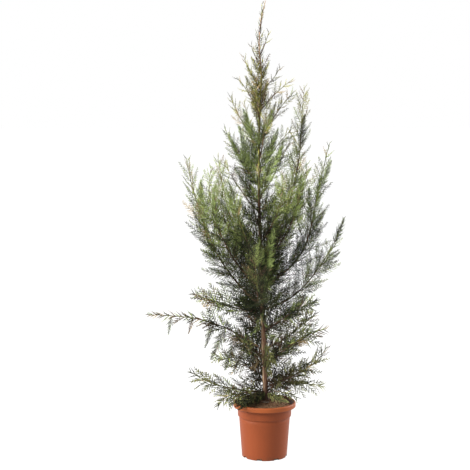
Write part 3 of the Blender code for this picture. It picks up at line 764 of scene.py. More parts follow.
def trunk_point(height):
    """The trunk's axis at a height: it bows, and its leader sways."""
    share = trunk_share(height)
    bow = math.sin(math.pi * share ** BOW_LATENESS)
    up_leader = max(height - LEADER_FOOT, 0.0) / (TRUNK_TIP - LEADER_FOOT)
    sway = LEADER_SWAY * math.sin(math.pi * up_leader)
    x = TRUNK_BASE.x * (1 - share) - TRUNK_BOW * bow - sway
    y = TRUNK_BASE.y * (1 - share) + TRUNK_BACK_BOW * bow * math.cos(math.pi * share)
    return Vector((x, y, height))


def trunk_radius(height):
    """The trunk's radius at a height, with the root flare at its foot."""
    share = trunk_share(height)
    taper = TRUNK_RADIUS * (1 - share) ** TRUNK_TAPER + TRUNK_TIP_RADIUS
    return taper + FLARE * math.exp(-(height - TRUNK_FOOT) / FLARE_HEIGHT)


print("tip of the trunk:", [round(value, 3) for value in trunk_point(TRUNK_TIP)])

# %% [markdown]
# A limb leaves the trunk at its foot, heads towards its bearing, and climbs by the angles in its
# list, with a small sway of its own.  Its path is walked once in small steps, and after that any
# place on it can be looked up.

# %% The paths of the limbs
LIMB_RADIUS = 0.0013
RADIUS_PER_LENGTH = 0.0034
LIMB_TAPER = 0.75
LIMB_TIP_RADIUS = 0.0008
SWAY = 5.0
SWAY_TURNS = 1.4
PATH_STEPS = 48


def blend_list(values, share):
    """Read a short list of values at a share of its span, straight between neighbours."""
    place = share * (len(values) - 1)
    step = min(int(place), len(values) - 2)
    return values[step] + (values[step + 1] - values[step]) * (place - step)


class Course:
    """The path of a limb, worked out in small steps from the trunk's axis to the tip."""

    def __init__(self, limb):
        draw = random.Random(limb.name)
        phase = draw.uniform(0, math.tau)
        self.points = [trunk_point(limb.foot)]
        for step in range(PATH_STEPS):
            share = (step + 0.5) / PATH_STEPS
            swing = SWAY * math.sin(SWAY_TURNS * math.tau * share + phase)
            rise = math.radians(blend_list(limb.rises, share) + 0.5 * swing)
            toward = math.radians(limb.toward + swing)
            flat = Vector((math.cos(toward), math.sin(toward), 0.0))
            heading = flat * math.cos(rise) + UP * math.sin(rise)
            self.points.append(self.points[-1] + heading * limb.length / PATH_STEPS)

    def at(self, share):
        """The point at a share of the length."""
        place = min(max(share, 0.0), 1.0) * PATH_STEPS
        step = min(int(place), PATH_STEPS - 1)
        return self.points[step].lerp(self.points[step + 1], place - step)

    def heading(self, share):
        """The direction of growth at a share of the length."""
        half = 1.0 / PATH_STEPS
        return (self.at(share + half) - self.at(share - half)).normalized()


def limb_radius(limb, share):
    """A limb's radius at a share of its length."""
    foot = LIMB_RADIUS + RADIUS_PER_LENGTH * limb.length
    return foot * max(1 - share, 0.0) ** LIMB_TAPER + LIMB_TIP_RADIUS


courses = {limb.name: Course(limb) for limb in LIMBS}
print("paths:", len(courses))

# %% [markdown]
# ## Bark
#
# Young bark is smooth and reddish brown where it is new, and splits into shallow upright plates
# near the ground, where the dry outer skin turns tan.  The relief has to be real, because the
# outline of a trunk shows it.  One tube does for the trunk and for every bough: a straight line
# of points is spun into a tube of height one, and every point is then moved to its place round
# the limb's axis.  Each point also stores its place along the grain, so that the colour runs
# along the limb whichever way the limb leans.

# %% A tube with bark relief
SEAM = Vector((0.31, 0.95, 0.05))
BARK_DEPTH = 0.09
PLATES_ROUND = 1.9
PLATES_ALONG = 34.0
PLATE_GAIN = 1.5
SCARS_ALONG = 190.0
SCAR_DEPTH = 0.35
GRAIN = "grain"


def bark_relief(turn, along, seed):
    """How deep the bark is split at a place round and along a limb, from 0 to 1."""
    round_x, round_y = math.cos(turn), math.sin(turn)
    place = Vector((PLATES_ROUND * round_x, PLATES_ROUND * round_y, along * PLATES_ALONG + seed))
    plates = abs(noise.fractal(place, 0.7, 2.1, 4))
    scars = max(noise.noise(Vector((round_x, round_y, along * SCARS_ALONG + seed))), 0.0)
    return min(plates * PLATE_GAIN, 1.0) + SCAR_DEPTH * scars


def bark_tube(sides, rings, length, point_at, heading_at, radius_at, seed, depth=BARK_DEPTH):
    """A bmesh tube round a path, with bark relief, and its place along the grain."""
    bm = bmesh.new()
    line = [bm.verts.new((1.0, 0.0, row / rings)) for row in range(rings + 1)]
    edges = [bm.edges.new(pair) for pair in zip(line, line[1:])]
    bmesh.ops.spin(bm, geom=line + edges, cent=(0, 0, 0), axis=(0, 0, 1),
                   angle=math.tau, steps=sides, use_merge=True, use_duplicate=False)
    bmesh.ops.holes_fill(bm, edges=[edge for edge in bm.edges if edge.is_boundary], sides=0)
    bmesh.ops.recalc_face_normals(bm, faces=bm.faces)
    grain = bm.verts.layers.float_vector.new(GRAIN)
    for vert in bm.verts:
        share = vert.co.z
        turn = math.atan2(vert.co.y, vert.co.x)
        heading = heading_at(share)
        across = heading.cross(SEAM).normalized()
        over = heading.cross(across)
        out = across * math.cos(turn) + over * math.sin(turn)
        split = bark_relief(turn, share * length, seed)
        radius = radius_at(share, turn) * (1.0 - depth * split)
        vert[grain] = (0.01 * math.cos(turn), 0.01 * math.sin(turn), share * length + seed)
        vert.co = point_at(share) + out * radius
    return bm


BARK_DEEP = (0.026, 0.012, 0.008)
BARK_RED = (0.080, 0.036, 0.020)
BARK_TAN = (0.235, 0.158, 0.088)
BARK_SHADED = (0.040, 0.022, 0.014)
BARK_OLIVE = (0.110, 0.095, 0.032)
BARK_PINK = (0.300, 0.200, 0.140)
BARK_PAINTED_LIGHT = (0.400, 0.300, 0.190)


def make_bark(name, tan_from, tan_to, shaded, painted_side_light):
    """Bark whose dry skin is tan where a streaky noise is high, with painted light and shade on its
    two sides.
    """
    finish = Finish(name, 0.82, Specular_IOR_Level=0.25)
    along = finish.place((260.0, 260.0, 30.0), GRAIN)
    streaks = finish.clouds(along, 1.0, 5.0, 0.62)
    flakes = finish.clouds(finish.place((420.0, 420.0, 150.0), GRAIN), 1.0, 4.0)
    patches = finish.clouds(finish.place((90.0, 90.0, 9.0), GRAIN), 1.0, 2.0)
    colour = finish.ramp(streaks, (0.34, BARK_DEEP), (0.52, BARK_RED), (0.70, BARK_TAN))
    dry = (patches * 0.5 + streaks * 0.5).between(tan_from, tan_to)
    colour = finish.blend(dry * 0.75, colour, BARK_TAN)
    colour = finish.blend(flakes.between(0.62, 0.75) * 0.5, colour, BARK_DEEP)
    # Painted light on the side of the stem towards the lamp, and painted shade, redder, on the other
    # side.
    painted_lit_side = finish.parts(finish.place(attribute=GRAIN))[0].between(-0.004, 0.009) * painted_side_light
    colour = finish.blend((painted_side_light - painted_lit_side) * 0.60, colour, BARK_RED)
    colour = finish.blend(painted_lit_side * streaks.between(0.40, 0.62) * 0.75, colour, BARK_PAINTED_LIGHT)
    height = finish.parts(finish.place())[2]
    # Painted shade: darker at the foot just above the soil, and on the trunk under the crown.
    colour = finish.blend((1.0 - height.between(0.245, 0.33)) * 0.75, colour, BARK_DEEP)
    colour = finish.blend(height.between(0.60, 0.95) * shaded, colour, BARK_SHADED)
    colour = finish.blend(height.between(1.28, 1.45), colour, BARK_OLIVE)
    colour = finish.blend(height.between(1.52, 1.70), colour, BARK_PINK)
    finish.relief(streaks * 0.7 + flakes * 0.3, 0.0007, 0.8)
    return finish.paint(colour, 0.74 + flakes * 0.2)


trunk_bark = make_bark("trunk_bark", 0.46, 0.66, 0.85, 1.0)
bough_bark = make_bark("bough_bark", 0.46, 0.62, 0.35, 0.0)
print("bark finishes:", trunk_bark.name, bough_bark.name)

# %% Clothe the trunk in bark
FLARE_LOBES = 3
LOBE_DEPTH = 0.12
TRUNK_SIDES = 40
TRUNK_RINGS = 820
HEADING_REACH = 0.004


def trunk_height(share):
    """Height of a share of the trunk."""
    return TRUNK_FOOT + (TRUNK_TIP - TRUNK_FOOT) * share


def trunk_heading(share):
    """Direction of the trunk at a share of its height."""
    low = trunk_point(trunk_height(max(share - HEADING_REACH, 0.0)))
    high = trunk_point(trunk_height(min(share + HEADING_REACH, 1.0)))
    return (high - low).normalized()


def flared_radius(share, turn):
    """The trunk's radius at a share of its height and a turn round it, with the root lobes."""
    height = trunk_height(share)
    lobes = LOBE_DEPTH * math.exp(-(height - TRUNK_FOOT) / FLARE_HEIGHT)
    return trunk_radius(height) * (1 + lobes * math.cos(FLARE_LOBES * turn))


bm = bark_tube(TRUNK_SIDES, TRUNK_RINGS, TRUNK_TIP - TRUNK_FOOT,
               lambda share: trunk_point(trunk_height(share)), trunk_heading, flared_radius, 0.0)
trunk = finished("trunk_bark", bm, trunk_bark, "bark", ("trunk",))
print("trunk:", triangles(trunk), "triangles")

# %% Clothe the boughs in bark
BOUGH_SIDES = 14
BOUGH_RING_STEP = 0.0016
BOUGH_OVERLAP = 0.02
COLLAR_SWELL = 0.45
COLLAR_REACH = 0.010


def make_bough(limb, seed):
    """The bare inner part of a main limb, with a swollen collar where it leaves the trunk."""
    course = courses[limb.name]
    end = limb.bare + BOUGH_OVERLAP

    def radius_at(share, turn):
        distance = max(share * end * limb.length - trunk_radius(limb.foot), 0.0)
        swell = 1 + COLLAR_SWELL * math.exp(-distance / COLLAR_REACH)
        return limb_radius(limb, share * end) * swell

    length = end * limb.length
    bm = bark_tube(BOUGH_SIDES, round(length / BOUGH_RING_STEP), length,
                   lambda share: course.at(share * end), lambda share: course.heading(share * end),
                   radius_at, seed)
    return finished("bough_bark_" + limb.name, bm, bough_bark, "bark", ("bough_" + limb.name,))


boughs = [make_bough(limb, 3.0 * number) for number, limb in enumerate(LIMBS) if limb.bare > 0]
print("boughs:", len(boughs), "with", sum(triangles(bough) for bough in boughs), "triangles")

# %% [markdown]
# ## Greens
#
# Foliage is not one green.  Low and inner sprays are dark and dull, those in the light are fresh
# green, and at the top the cold has turned them olive and tan.  A pattern would be lost on blades
# a few millimetres wide, so each spray gets one family of plain colours, dealt out by where it
# grows, and its shoots take lighter and darker ones of it.  There are five families, and the twigs
# have three colours of their own.

# %% Tints for sprays and twigs
GREENS = {
    "low": ((0.0090, 0.0102, 0.0048), (0.205, 0.212, 0.074)),
    "mid": ((0.0062, 0.0088, 0.0034), (0.212, 0.258, 0.076)),
    "fresh": ((0.0088, 0.0112, 0.0044), (0.204, 0.260, 0.082)),
    "top": ((0.0170, 0.0180, 0.0045), (0.275, 0.262, 0.056)),
    "tan": ((0.0300, 0.0180, 0.0100), (0.270, 0.200, 0.096)),
}
WOODS = {
    "dark": (0.034, 0.019, 0.013),
    "brown": (0.085, 0.050, 0.031),
    "olive": (0.110, 0.110, 0.036),
}
LEVELS = 6
LEAF_ROUGHNESS = 0.60
WOOD_ROUGHNESS = 0.78
DULL = 0.10


def between_tints(dark, light, level):
    """The tint of a level, in even steps of brightness from the dark to the light one."""
    share = level / (LEVELS - 1)
    return tuple(low * (high / low) ** share for low, high in zip(dark, light))


tints = [simple_material("spray_%s_%d" % (name, level), between_tints(*pair, level),
                         LEAF_ROUGHNESS, DULL)
         for name, pair in GREENS.items() for level in range(LEVELS)]
FAMILY = {name: number * LEVELS for number, name in enumerate(GREENS)}
WOOD = {name: len(tints) + number for number, name in enumerate(WOODS)}
tints += [simple_material("twig_" + name, colour, WOOD_ROUGHNESS, DULL)
          for name, colour in WOODS.items()]
print("tints:", len(tints))

# %% [markdown]
# ## Growth as arrays
#
# There are more than a hundred thousand shoots, too many for a loop over bmeshes, so a whole order
# of growth is held as one set of numpy arrays and every step is done to all its shoots at once.
# A shoot has a root, a heading, a flat side, a length, and a lift that bends it.  `grow_sides`
# lets every shoot of one order put out the shoots of the next, left and right in turn.

# %% Shoots and their paths
SKY = np.array((0.0, 0.0, 1.0))


class Shoots(NamedTuple):
    """Many shoots: one row for each in every array."""
    root: np.ndarray
    heading: np.ndarray
    normal: np.ndarray
    length: np.ndarray
    lift: np.ndarray
    shade: np.ndarray

    def chosen(self, mask):
        """The shoots that a mask picks."""
        return Shoots(*(values[mask] for values in self))

    def between(self, low, high):
        """A mask of the shoots whose roots lie between two heights."""
        return (self.root[:, 2] >= low) & (self.root[:, 2] < high)


def unit(vectors):
    """Vectors of length one."""
    return vectors / np.linalg.norm(vectors, axis=-1, keepdims=True)


def as_shoots(rows):
    """Arrays from a list with one row of values for each shoot."""
    return Shoots(*(np.array([list(value) if isinstance(value, Vector) else value
                              for value in column]) for column in zip(*rows)))


def both(first, second):
    """Two sets of shoots as one."""
    return Shoots(*(np.concatenate(pair) for pair in zip(first, second)))


def bent_paths(shoots, steps):
    """Points and headings along each shoot, as its lift bends it."""
    points = [shoots.root]
    headings = [shoots.heading]
    stride = (shoots.length / steps)[:, None]
    for _ in range(steps):
        points.append(points[-1] + headings[-1] * stride)
        headings.append(unit(headings[-1] + SKY * (shoots.lift / steps)[:, None]))
    return np.stack(points, 1), np.stack(headings, 1)


print("each shoot has:", Shoots._fields)

# %% Side shoots
LAST_SIDE = 0.97
PLACE_JITTER = 0.3
ANGLE_JITTER = 4.0
LENGTH_JITTER = (0.80, 1.18)
OUTLINE_FOOT = 0.50
OUTLINE_RISE = 1.7
OUTLINE_TIP = 1.10
SHADE_MIDDLE = 0.45
SHADE_JITTER = 0.11
LIFT_JITTER = 0.10


class Habit(NamedTuple):
    """How one order of shoots puts out the next."""
    spacing: float
    first: float
    ratio: float
    base_angle: float
    tip_angle: float
    tilt: float
    lift: float
    gain: float
    radius: float = 0.0


def grow_sides(shoots, habit, steps, draw):
    """The side shoots of every shoot, left and right in turn along it, and whose each one is."""
    points, headings = bent_paths(shoots, steps)
    span = LAST_SIDE - habit.first
    counts = np.maximum(2, np.round(span * shoots.length / habit.spacing)).astype(int)
    parent = np.repeat(np.arange(len(counts)), counts)
    number = np.arange(len(parent)) - np.repeat(np.cumsum(counts) - counts, counts)
    total = len(parent)
    jitter = draw.uniform(-PLACE_JITTER, PLACE_JITTER, total)
    share = habit.first + span * (number + 0.5 + jitter) / counts[parent]
    place = np.clip(share, 0, 0.999) * steps
    step = place.astype(int)
    low, high = points[parent, step], points[parent, step + 1]
    root = low + (high - low) * (place - step)[:, None]
    ahead = headings[parent, step]
    normal = shoots.normal[parent]
    hand = np.where((number + parent) % 2 == 0, 1.0, -1.0)
    side = unit(np.cross(normal, ahead)) * hand[:, None]
    angle = np.radians(habit.base_angle + (habit.tip_angle - habit.base_angle) * share
                       + draw.normal(0, ANGLE_JITTER, total))
    tilt = draw.normal(0, habit.tilt, total)[:, None]
    heading = unit(ahead * np.cos(angle)[:, None] + side * np.sin(angle)[:, None] + normal * tilt)
    flat = unit(normal - heading * np.sum(normal * heading, 1, keepdims=True))
    outline = np.minimum(1.0, OUTLINE_FOOT + OUTLINE_RISE * share) * (OUTLINE_TIP - share)
    length = shoots.length[parent] * habit.ratio * outline * draw.uniform(*LENGTH_JITTER, total)
    shade = shoots.shade[parent] + habit.gain * (share - SHADE_MIDDLE)
    shade += draw.normal(0, SHADE_JITTER, total)
    lift = np.full(total, habit.lift) + draw.normal(0, LIFT_JITTER, total)
    return Shoots(root, heading, flat, length, lift, shade), parent


print("orders of growth:", "limb, branch, finger, tip")

# %% [markdown]
# Two kinds of mesh are made from shoots.  A twig is a slim tube that ends in a point.  A leafy
# tip is a closed, keeled blade of four faces, widest before its middle, as flat as the scale
# leaves that clothe it.  It stands for a handful of scales, so it is larger than any one of them.

# %% Twigs and leafy tips as triangles
LEAF_SHAPE = 0.38
LEAF_WIDTH = (0.0016, 0.0039)
LEAF_KEEL = 0.0007
LEAF_WAIST = 0.40
LEAF_DROOP = 0.25


def tube_arrays(points, headings, normal, radii, sides):
    """Closed tapering tubes with pointed ends, as corners, triangles and the shoot of each."""
    count, rings = points.shape[0], points.shape[1] - 1
    normal = normal[:, None, :]
    over = unit(normal - headings * np.sum(normal * headings, 2, keepdims=True))
    across = np.cross(over, headings)
    turns = math.tau * np.arange(sides) / sides
    spokes = (across[:, :rings, None, :] * np.cos(turns)[None, None, :, None]
              + over[:, :rings, None, :] * np.sin(turns)[None, None, :, None])
    circles = points[:, :rings, None, :] + spokes * radii[:, :rings, None, None]
    corners = np.concatenate([circles.reshape(count, rings * sides, 3), points[:, -1:, :]], 1)
    faces = []
    for ring in range(rings):
        for side in range(sides):
            low, low_next = ring * sides + side, ring * sides + (side + 1) % sides
            if ring < rings - 1:
                faces += [(low, low_next, low_next + sides), (low, low_next + sides, low + sides)]
            else:
                faces.append((low, low_next, rings * sides))
    faces += [(0, side + 1, side) for side in range(1, sides - 1)]
    return joined(corners, np.array(faces))


def leaf_arrays(shoots):
    """Closed leafy tips of four faces, keeled below and widest before the middle."""
    side = np.cross(shoots.normal, shoots.heading)
    width = np.clip(LEAF_SHAPE * shoots.length, *LEAF_WIDTH)[:, None]
    waist = shoots.root + shoots.heading * (LEAF_WAIST * shoots.length)[:, None]
    waist += shoots.normal * LEAF_KEEL
    along = shoots.heading + SKY * (LEAF_DROOP * shoots.lift)[:, None]
    tip = shoots.root + along * shoots.length[:, None]
    corners = np.stack([shoots.root, waist + side * width / 2, waist - side * width / 2, tip], 1)
    return joined(corners, np.array(((0, 2, 1), (3, 1, 2), (0, 1, 3), (0, 3, 2))))


def joined(corners, faces):
    """One set of corners and triangles from a pattern that repeats for each shoot."""
    count, each = corners.shape[0], corners.shape[1]
    offsets = (np.arange(count) * each)[:, None, None]
    everything = (faces[None] + offsets).reshape(-1, 3)
    owner = np.repeat(np.arange(count), len(faces))
    return corners.reshape(-1, 3), everything, owner


def joined_mesh(name, parts, smooth):
    """One mesh from many (corners, triangles, tint of each triangle), with only the tints used."""
    corners = np.concatenate([part[0] for part in parts])
    starts = np.cumsum([0] + [len(part[0]) for part in parts[:-1]])
    faces = np.concatenate([part[1] + start for part, start in zip(parts, starts)])
    dealt = np.concatenate([part[2] for part in parts])
    used, slots = np.unique(dealt, return_inverse=True)
    mesh = bpy.data.meshes.new(name)
    mesh.vertices.add(len(corners))
    mesh.vertices.foreach_set("co", corners.astype(np.float32).ravel())
    mesh.loops.add(len(faces) * 3)
    mesh.loops.foreach_set("vertex_index", faces.astype(np.int32).ravel())
    mesh.polygons.add(len(faces))
    mesh.polygons.foreach_set("loop_start", np.arange(0, len(faces) * 3, 3, dtype=np.int32))
    for tint in used:
        mesh.materials.append(tints[tint])
    mesh.polygons.foreach_set("material_index", slots.astype(np.int32))
    mesh.update(calc_edges=True)
    (mesh.shade_smooth if smooth else mesh.shade_flat)()
    return mesh


print("leafy tips are up to", 1000 * LEAF_WIDTH[1], "mm wide")

# %% [markdown]
# The limbs put out branches all round, by the golden angle, as they do in the solids, only closer
# together and of mixed lengths.  A branch is a flat spray of narrow fingers, and a finger is a
# leafy shoot with its tips to both sides, like a feather.  Low down the fingers hang, and many of
# them are bare, as they get little light.  What differs from place to place is a number in a
# habit, so the same functions grow it all.
#
# Some sprays are large and turn their flat side to the front.  They give the plant its look, so
# they are listed one by one: the stem that bears them, how far along it, how they lean, how long
# and how light they are.

# %% The plumes that catch the eye
FRONT = Vector((-0.37, -0.80, 0.47)).normalized()
PLUME_LIFT = 0.10


def facing_front(heading):
    """The plane of a spray that grows along a heading and turns its flat side to the front."""
    return (FRONT - heading * FRONT.dot(heading)).normalized()


class Plume(NamedTuple):
    """One big spray: its place on its stem, its lean from upright, its length and how it looks."""
    place: float
    lean: float
    length: float
    shade: float
    forward: float = 0.35


PLUMES = {
    # Left side of the crown
    "tall_left": (
        (0.57, -5, 0.200, 0.85), (0.67, 2, 0.150, 0.80), (0.54, -32, 0.125, 0.50),
        (0.41, -30, 0.115, 0.55), (0.37, -61, 0.090, 0.60), (0.26, -70, 0.110, 0.55),
        (0.17, -78, 0.118, 0.55), (0.32, 10, 0.140, 0.40),
    ),
    "left_front": ((0.62, -4, 0.150, 0.78), (0.50, -14, 0.180, 0.80), (0.32, 8, 0.160, 0.55)),
    "front_left": ((0.64, -22, 0.175, 0.90), (0.39, -21, 0.141, 0.45), (0.90, -20, 0.080, 0.65)),

    # Right side of the crown
    "inner_right": ((0.66, 7, 0.150, 0.35),),
    "front_right_tall": ((0.45, -11, 0.160, 0.70), (0.51, 14, 0.200, 0.88), (0.64, 4, 0.130, 0.78)),
    "tall_right": (
        (0.60, 8, 0.150, 0.74), (0.70, 22, 0.150, 0.70), (0.50, -6, 0.170, 0.65),
        (0.42, 30, 0.150, 0.60), (0.28, 17, 0.130, 0.40), (0.20, 22, 0.140, 0.35),
    ),
    "wide_right": ((0.56, 53, 0.115, 0.50), (0.78, 20, 0.120, 0.45)),

    # Upper crown
    "upper_left": ((0.22, -14, 0.175, 0.60), (0.52, -22, 0.110, 0.62)),
    "crown_left": ((0.25, -16, 0.130, 0.62),),
    "upper_right": ((0.20, 22, 0.150, 0.62),),
    "high_right": ((0.42, 14, 0.150, 0.58),),
    "crown_right": ((0.30, 18, 0.110, 0.60),),

    # Below the crown, with those that hang from the long limb
    "long_left": (
        (0.16, 205, 0.150, 0.30), (0.26, 198, 0.165, 0.35), (0.36, 205, 0.150, 0.35),
        (0.46, 200, 0.110, 0.40), (0.63, 195, 0.070, 0.45), (0.80, 188, 0.080, 0.50),
    ),
    "right_front": ((0.34, 47, 0.165, 0.60),),
    "right_fan": ((0.23, 53, 0.190, 0.40),),

    # Straight from the trunk: over the rim, beside its bare foot, and up through the crown
    "trunk": (
        (0.264, 103, 0.135, 0.85, 1.00), (0.275, -116, 0.190, 0.36, 1.10),
        (0.263, -106, 0.180, 0.34, 0.90), (0.267, -104, 0.185, 0.30, 0.60),
        (0.264, -101, 0.165, 0.42, 1.50), (0.270, -104, 0.110, 0.50, 1.40),
        (0.480, 152, 0.120, 0.78, 0.50), (0.460, 165, 0.130, 0.85, 0.40),
        (0.640, 170, 0.105, 0.48, 0.60), (0.625, -165, 0.110, 0.42, 0.60),
        (0.430, 170, 0.100, 0.60, 0.50), (0.525, 120, 0.090, 0.60, 0.50),
        (0.560, -130, 0.090, 0.55, 0.50), (0.620, 10, 0.150, 0.50, 0.50),
        (0.745, 13, 0.290, 0.80, 0.75), (0.745, -4, 0.240, 0.70, 0.75),
        (0.700, 32, 0.170, 0.60, 0.40), (0.700, -34, 0.170, 0.50, 0.40),
        (0.960, -38, 0.170, 0.50, 0.45), (0.985, 33, 0.180, 0.62, 0.40),
        (1.055, -34, 0.200, 0.60, 0.40), (1.130, -32, 0.240, 0.75, 0.40),
        (1.190, -25, 0.220, 0.78, 0.35), (1.270, -20, 0.180, 0.75, 0.30),
        (1.115, 28, 0.230, 0.80, 0.45), (1.190, 24, 0.210, 0.74, 0.35),
        (1.290, 20, 0.170, 0.72, 0.30), (1.400, -14, 0.150, 0.62, 0.25),
        (1.440, 16, 0.120, 0.60, 0.25), (1.470, -30, 0.130, 0.64, 0.25),
        (1.525, -32, 0.115, 0.72, 0.20), (1.580, -30, 0.090, 0.74, 0.25),
        (1.560, 24, 0.085, 0.60, 0.20),
    ),
}


def plume_shoots(name):
    """The plumes that a limb or the trunk bears, each facing the front."""
    rows = []
    for plume in (Plume(*row) for row in PLUMES[name]):
        root = trunk_point(plume.place) if name == "trunk" else courses[name].at(plume.place)
        lean = math.radians(plume.lean)
        heading = Vector((math.sin(lean), -plume.forward, math.cos(lean))).normalized()
        rows.append((root, heading, facing_front(heading), plume.length, PLUME_LIFT, plume.shade))
    return as_shoots(rows)


print("plumes:", sum(len(rows) for rows in PLUMES.values()))

# %% [markdown]
# A limb bears branches from near the trunk to its tip.  They leave it at a wide angle low down and
# a narrow one at the end, the longest stand near its foot, and they lie closest where the crown is
# fullest.  How much light a branch gets sets how light its greens are.  Some branches of the crown
# turn their flat side to the front like a plume, and their greens are painted lighter as painted
# light.

# %% The branches of a limb
FIRST_SPRAY = 0.028
GOLDEN_TURN = 137.5
ROLL_JITTER = 25.0
BASE_ANGLE = 52.0
TIP_ANGLE = 33.0
LENGTH_GAIN = 1.5
LENGTH_LOSS = 0.45
LOSS_LATENESS = 1.5
LAST_SPRAY = 0.006
TIP_ROOM = 0.020
TIP_FLARE = 0.62
FIRST_LENGTHS = ((0.93, 1.05), (0.70, 0.42))
BRANCH_STEP = ((0.30, 0.42, 0.60, 0.90, 1.15), (0.0064, 0.0086, 0.0058, 0.0068, 0.0122))
BRANCH_LENGTHS = (0.42, 1.04, 0.70)
BRANCH_ANGLE_JITTER = 7.0
BRANCH_LIFTS = (0.6, 1.4)
PLANE_JITTER = 32.0
LIFT_GAIN = 1.25
HANG_GAIN = 1.8
LIGHT = ((0.50, 0.70, 0.90, 1.10, 1.50), (0.35, 0.20, 0.26, 0.50, 0.48))
LIGHT_OUT = 0.34
LIGHT_UP = 0.20
CROWN_LEAST = 0.07
CROWN_MOST = 0.26
CROWN_MIDDLE = 0.85
CROWN_SPAN = 0.95
TIP_SHADE = 0.30
TIP_LAST = 0.15
BRANCH_CONTRAST = 0.20
CROWN_FROM = 0.62
FACING_SHARE = 0.34
FACING_PAINTED_LIGHT = 0.18
THINNED = {"long_left": (0.38, 0.62), "wide_right": (0.58, 0.55), "tall_right": (0.45, 0.75),
           "high_back": (0.0, 0.62), "upper_back": (0.0, 0.66), "high_front": (0.0, 0.72)}
SHADED = {"front": 0.16}


def side_directions(limb, course, share, roll, angle):
    """Heading and plane of the growth that leaves a stem at a roll round it and an angle to it."""
    ahead = course.heading(share)
    toward, roll, angle = (math.radians(value) for value in (limb.toward, roll, angle))
    over = Vector((-math.sin(toward), math.cos(toward), 0.0)).cross(ahead).normalized()
    out = ahead.cross(over) * math.cos(roll) + over * math.sin(roll)
    heading = ahead * math.cos(angle) + out * math.sin(angle)
    return heading.normalized(), heading.cross(ahead).normalized()


def light_at(place, up_mass):
    """How much light growth at a place gets, from 0 deep inside to 1 outside and on top."""
    axis = trunk_point(place.z)
    out = math.hypot(place.x - axis.x, place.y - axis.y)
    widest = CROWN_LEAST + CROWN_MOST * max(0.0, 1.0 - abs(place.z - CROWN_MIDDLE) / CROWN_SPAN)
    tip = max(up_mass - (1 - TIP_LAST), 0.0) / TIP_LAST
    outer = LIGHT_OUT * min(out / widest, 1.2)
    return np.interp(place.z, *LIGHT) + outer + LIGHT_UP * up_mass - TIP_SHADE * tip


def fullness(limb, share):
    """How long the growth of a limb is at a place along it, as a share of the usual."""
    start, least = THINNED.get(limb.name, (0.0, 1.0))
    return np.interp(share, (start, min(start + 0.15, 1.0)), (1.0, least))


def limb_shoots(limb, course):
    """The branches of a limb, as arrays, from near the trunk to its tip."""
    draw = random.Random(limb.name + " growth")
    start_roll = draw.uniform(0, 360)
    first_length = np.interp(limb.foot, *FIRST_LENGTHS)
    lift_gain = LIFT_GAIN if limb.lift > 0 else HANG_GAIN
    rows = []
    share = FIRST_SPRAY / limb.length
    while share < 1 - LAST_SPRAY / limb.length:
        number = len(rows)
        up_mass = max(share - limb.bare, 0.0) / (1 - limb.bare)
        roll = start_roll + GOLDEN_TURN * number + draw.uniform(-ROLL_JITTER, ROLL_JITTER)
        angle = BASE_ANGLE + (TIP_ANGLE - BASE_ANGLE) * up_mass
        angle += draw.uniform(-BRANCH_ANGLE_JITTER, BRANCH_ANGLE_JITTER)
        gain = min(1.0, first_length + LENGTH_GAIN * up_mass)
        length = limb.spray * gain * (1 - LENGTH_LOSS * up_mass ** LOSS_LATENESS)
        length *= draw.triangular(*BRANCH_LENGTHS)
        length = min(length, TIP_ROOM + TIP_FLARE * (1 - share) * limb.length)
        heading, normal = side_directions(limb, course, share, roll, angle)
        normal = Matrix.Rotation(math.radians(draw.gauss(0, PLANE_JITTER)), 3, heading) @ normal
        root = course.at(share)
        shade = light_at(root, up_mass) + draw.gauss(0, BRANCH_CONTRAST)
        # Sprays that face the front are painted lighter, as painted light.
        if root.z > CROWN_FROM and draw.random() < FACING_SHARE:
            normal = facing_front(heading)
            shade += FACING_PAINTED_LIGHT
        shade -= SHADED.get(limb.name, 0.0)
        length *= fullness(limb, share)
        lift = limb.lift * lift_gain * draw.uniform(*BRANCH_LIFTS)
        rows.append((root, heading, normal, length, lift, shade))
        share += np.interp(root.z, *BRANCH_STEP) / limb.length
    return as_shoots(rows)


limb_branches = {limb.name: limb_shoots(limb, courses[limb.name]) for limb in LIMBS}
print("branches:", sum(len(shoots.length) for shoots in limb_branches.values()))

# %% [markdown]
# Each spray is dealt one family of greens by the height it grows at, and every shoot in it takes a
# level of that family.  Some sprays are tan: towards the top from the cold, and well out from the
# trunk at the height of the long limb, where they have dried.

# %% Deal out the colours
LOW_TO = 0.50
TOP_FROM = 1.34
TAN_CHANCE = ((0.90, 1.20, 1.75), (0.00, 0.04, 0.40))
TIP_TAN = 0.05
DRY_FROM = 0.20
DRY_HEIGHTS = (0.45, 0.66)
DRY_TAN = 0.55


def level_of(shade):
    """The level of brightness of a shade."""
    return np.clip((shade * LEVELS).astype(int), 0, LEVELS - 1)


def wood_of(shade, dark_below, olive_above):
    """The colour of each twig by its shade: dark ones inside, olive ones outside."""
    outer = np.where(shade > olive_above, WOOD["olive"], WOOD["brown"])
    return np.where(shade < dark_below, WOOD["dark"], outer)


def families(shoots, draw, plume):
    """The family of each shoot by its height, with tan ones at the top and out on the long limb."""
    x, y, z = shoots.root.T
    height = z + draw.normal(0, 0.02 if plume else 0.10, len(z))
    mid = FAMILY["fresh" if plume else "mid"]
    family = np.where(height < LOW_TO, FAMILY["low"], np.where(height < TOP_FROM, mid, FAMILY["top"]))
    cold = (np.interp(z, *TAN_CHANCE) + TIP_TAN * (shoots.shade > 0.75)) * (not plume)
    dry = DRY_TAN * (np.hypot(x, y) > DRY_FROM) * shoots.between(*DRY_HEIGHTS)
    return np.where(draw.uniform(0, 1, len(z)) < cold + dry, FAMILY["tan"], family)


print("families:", list(FAMILY))

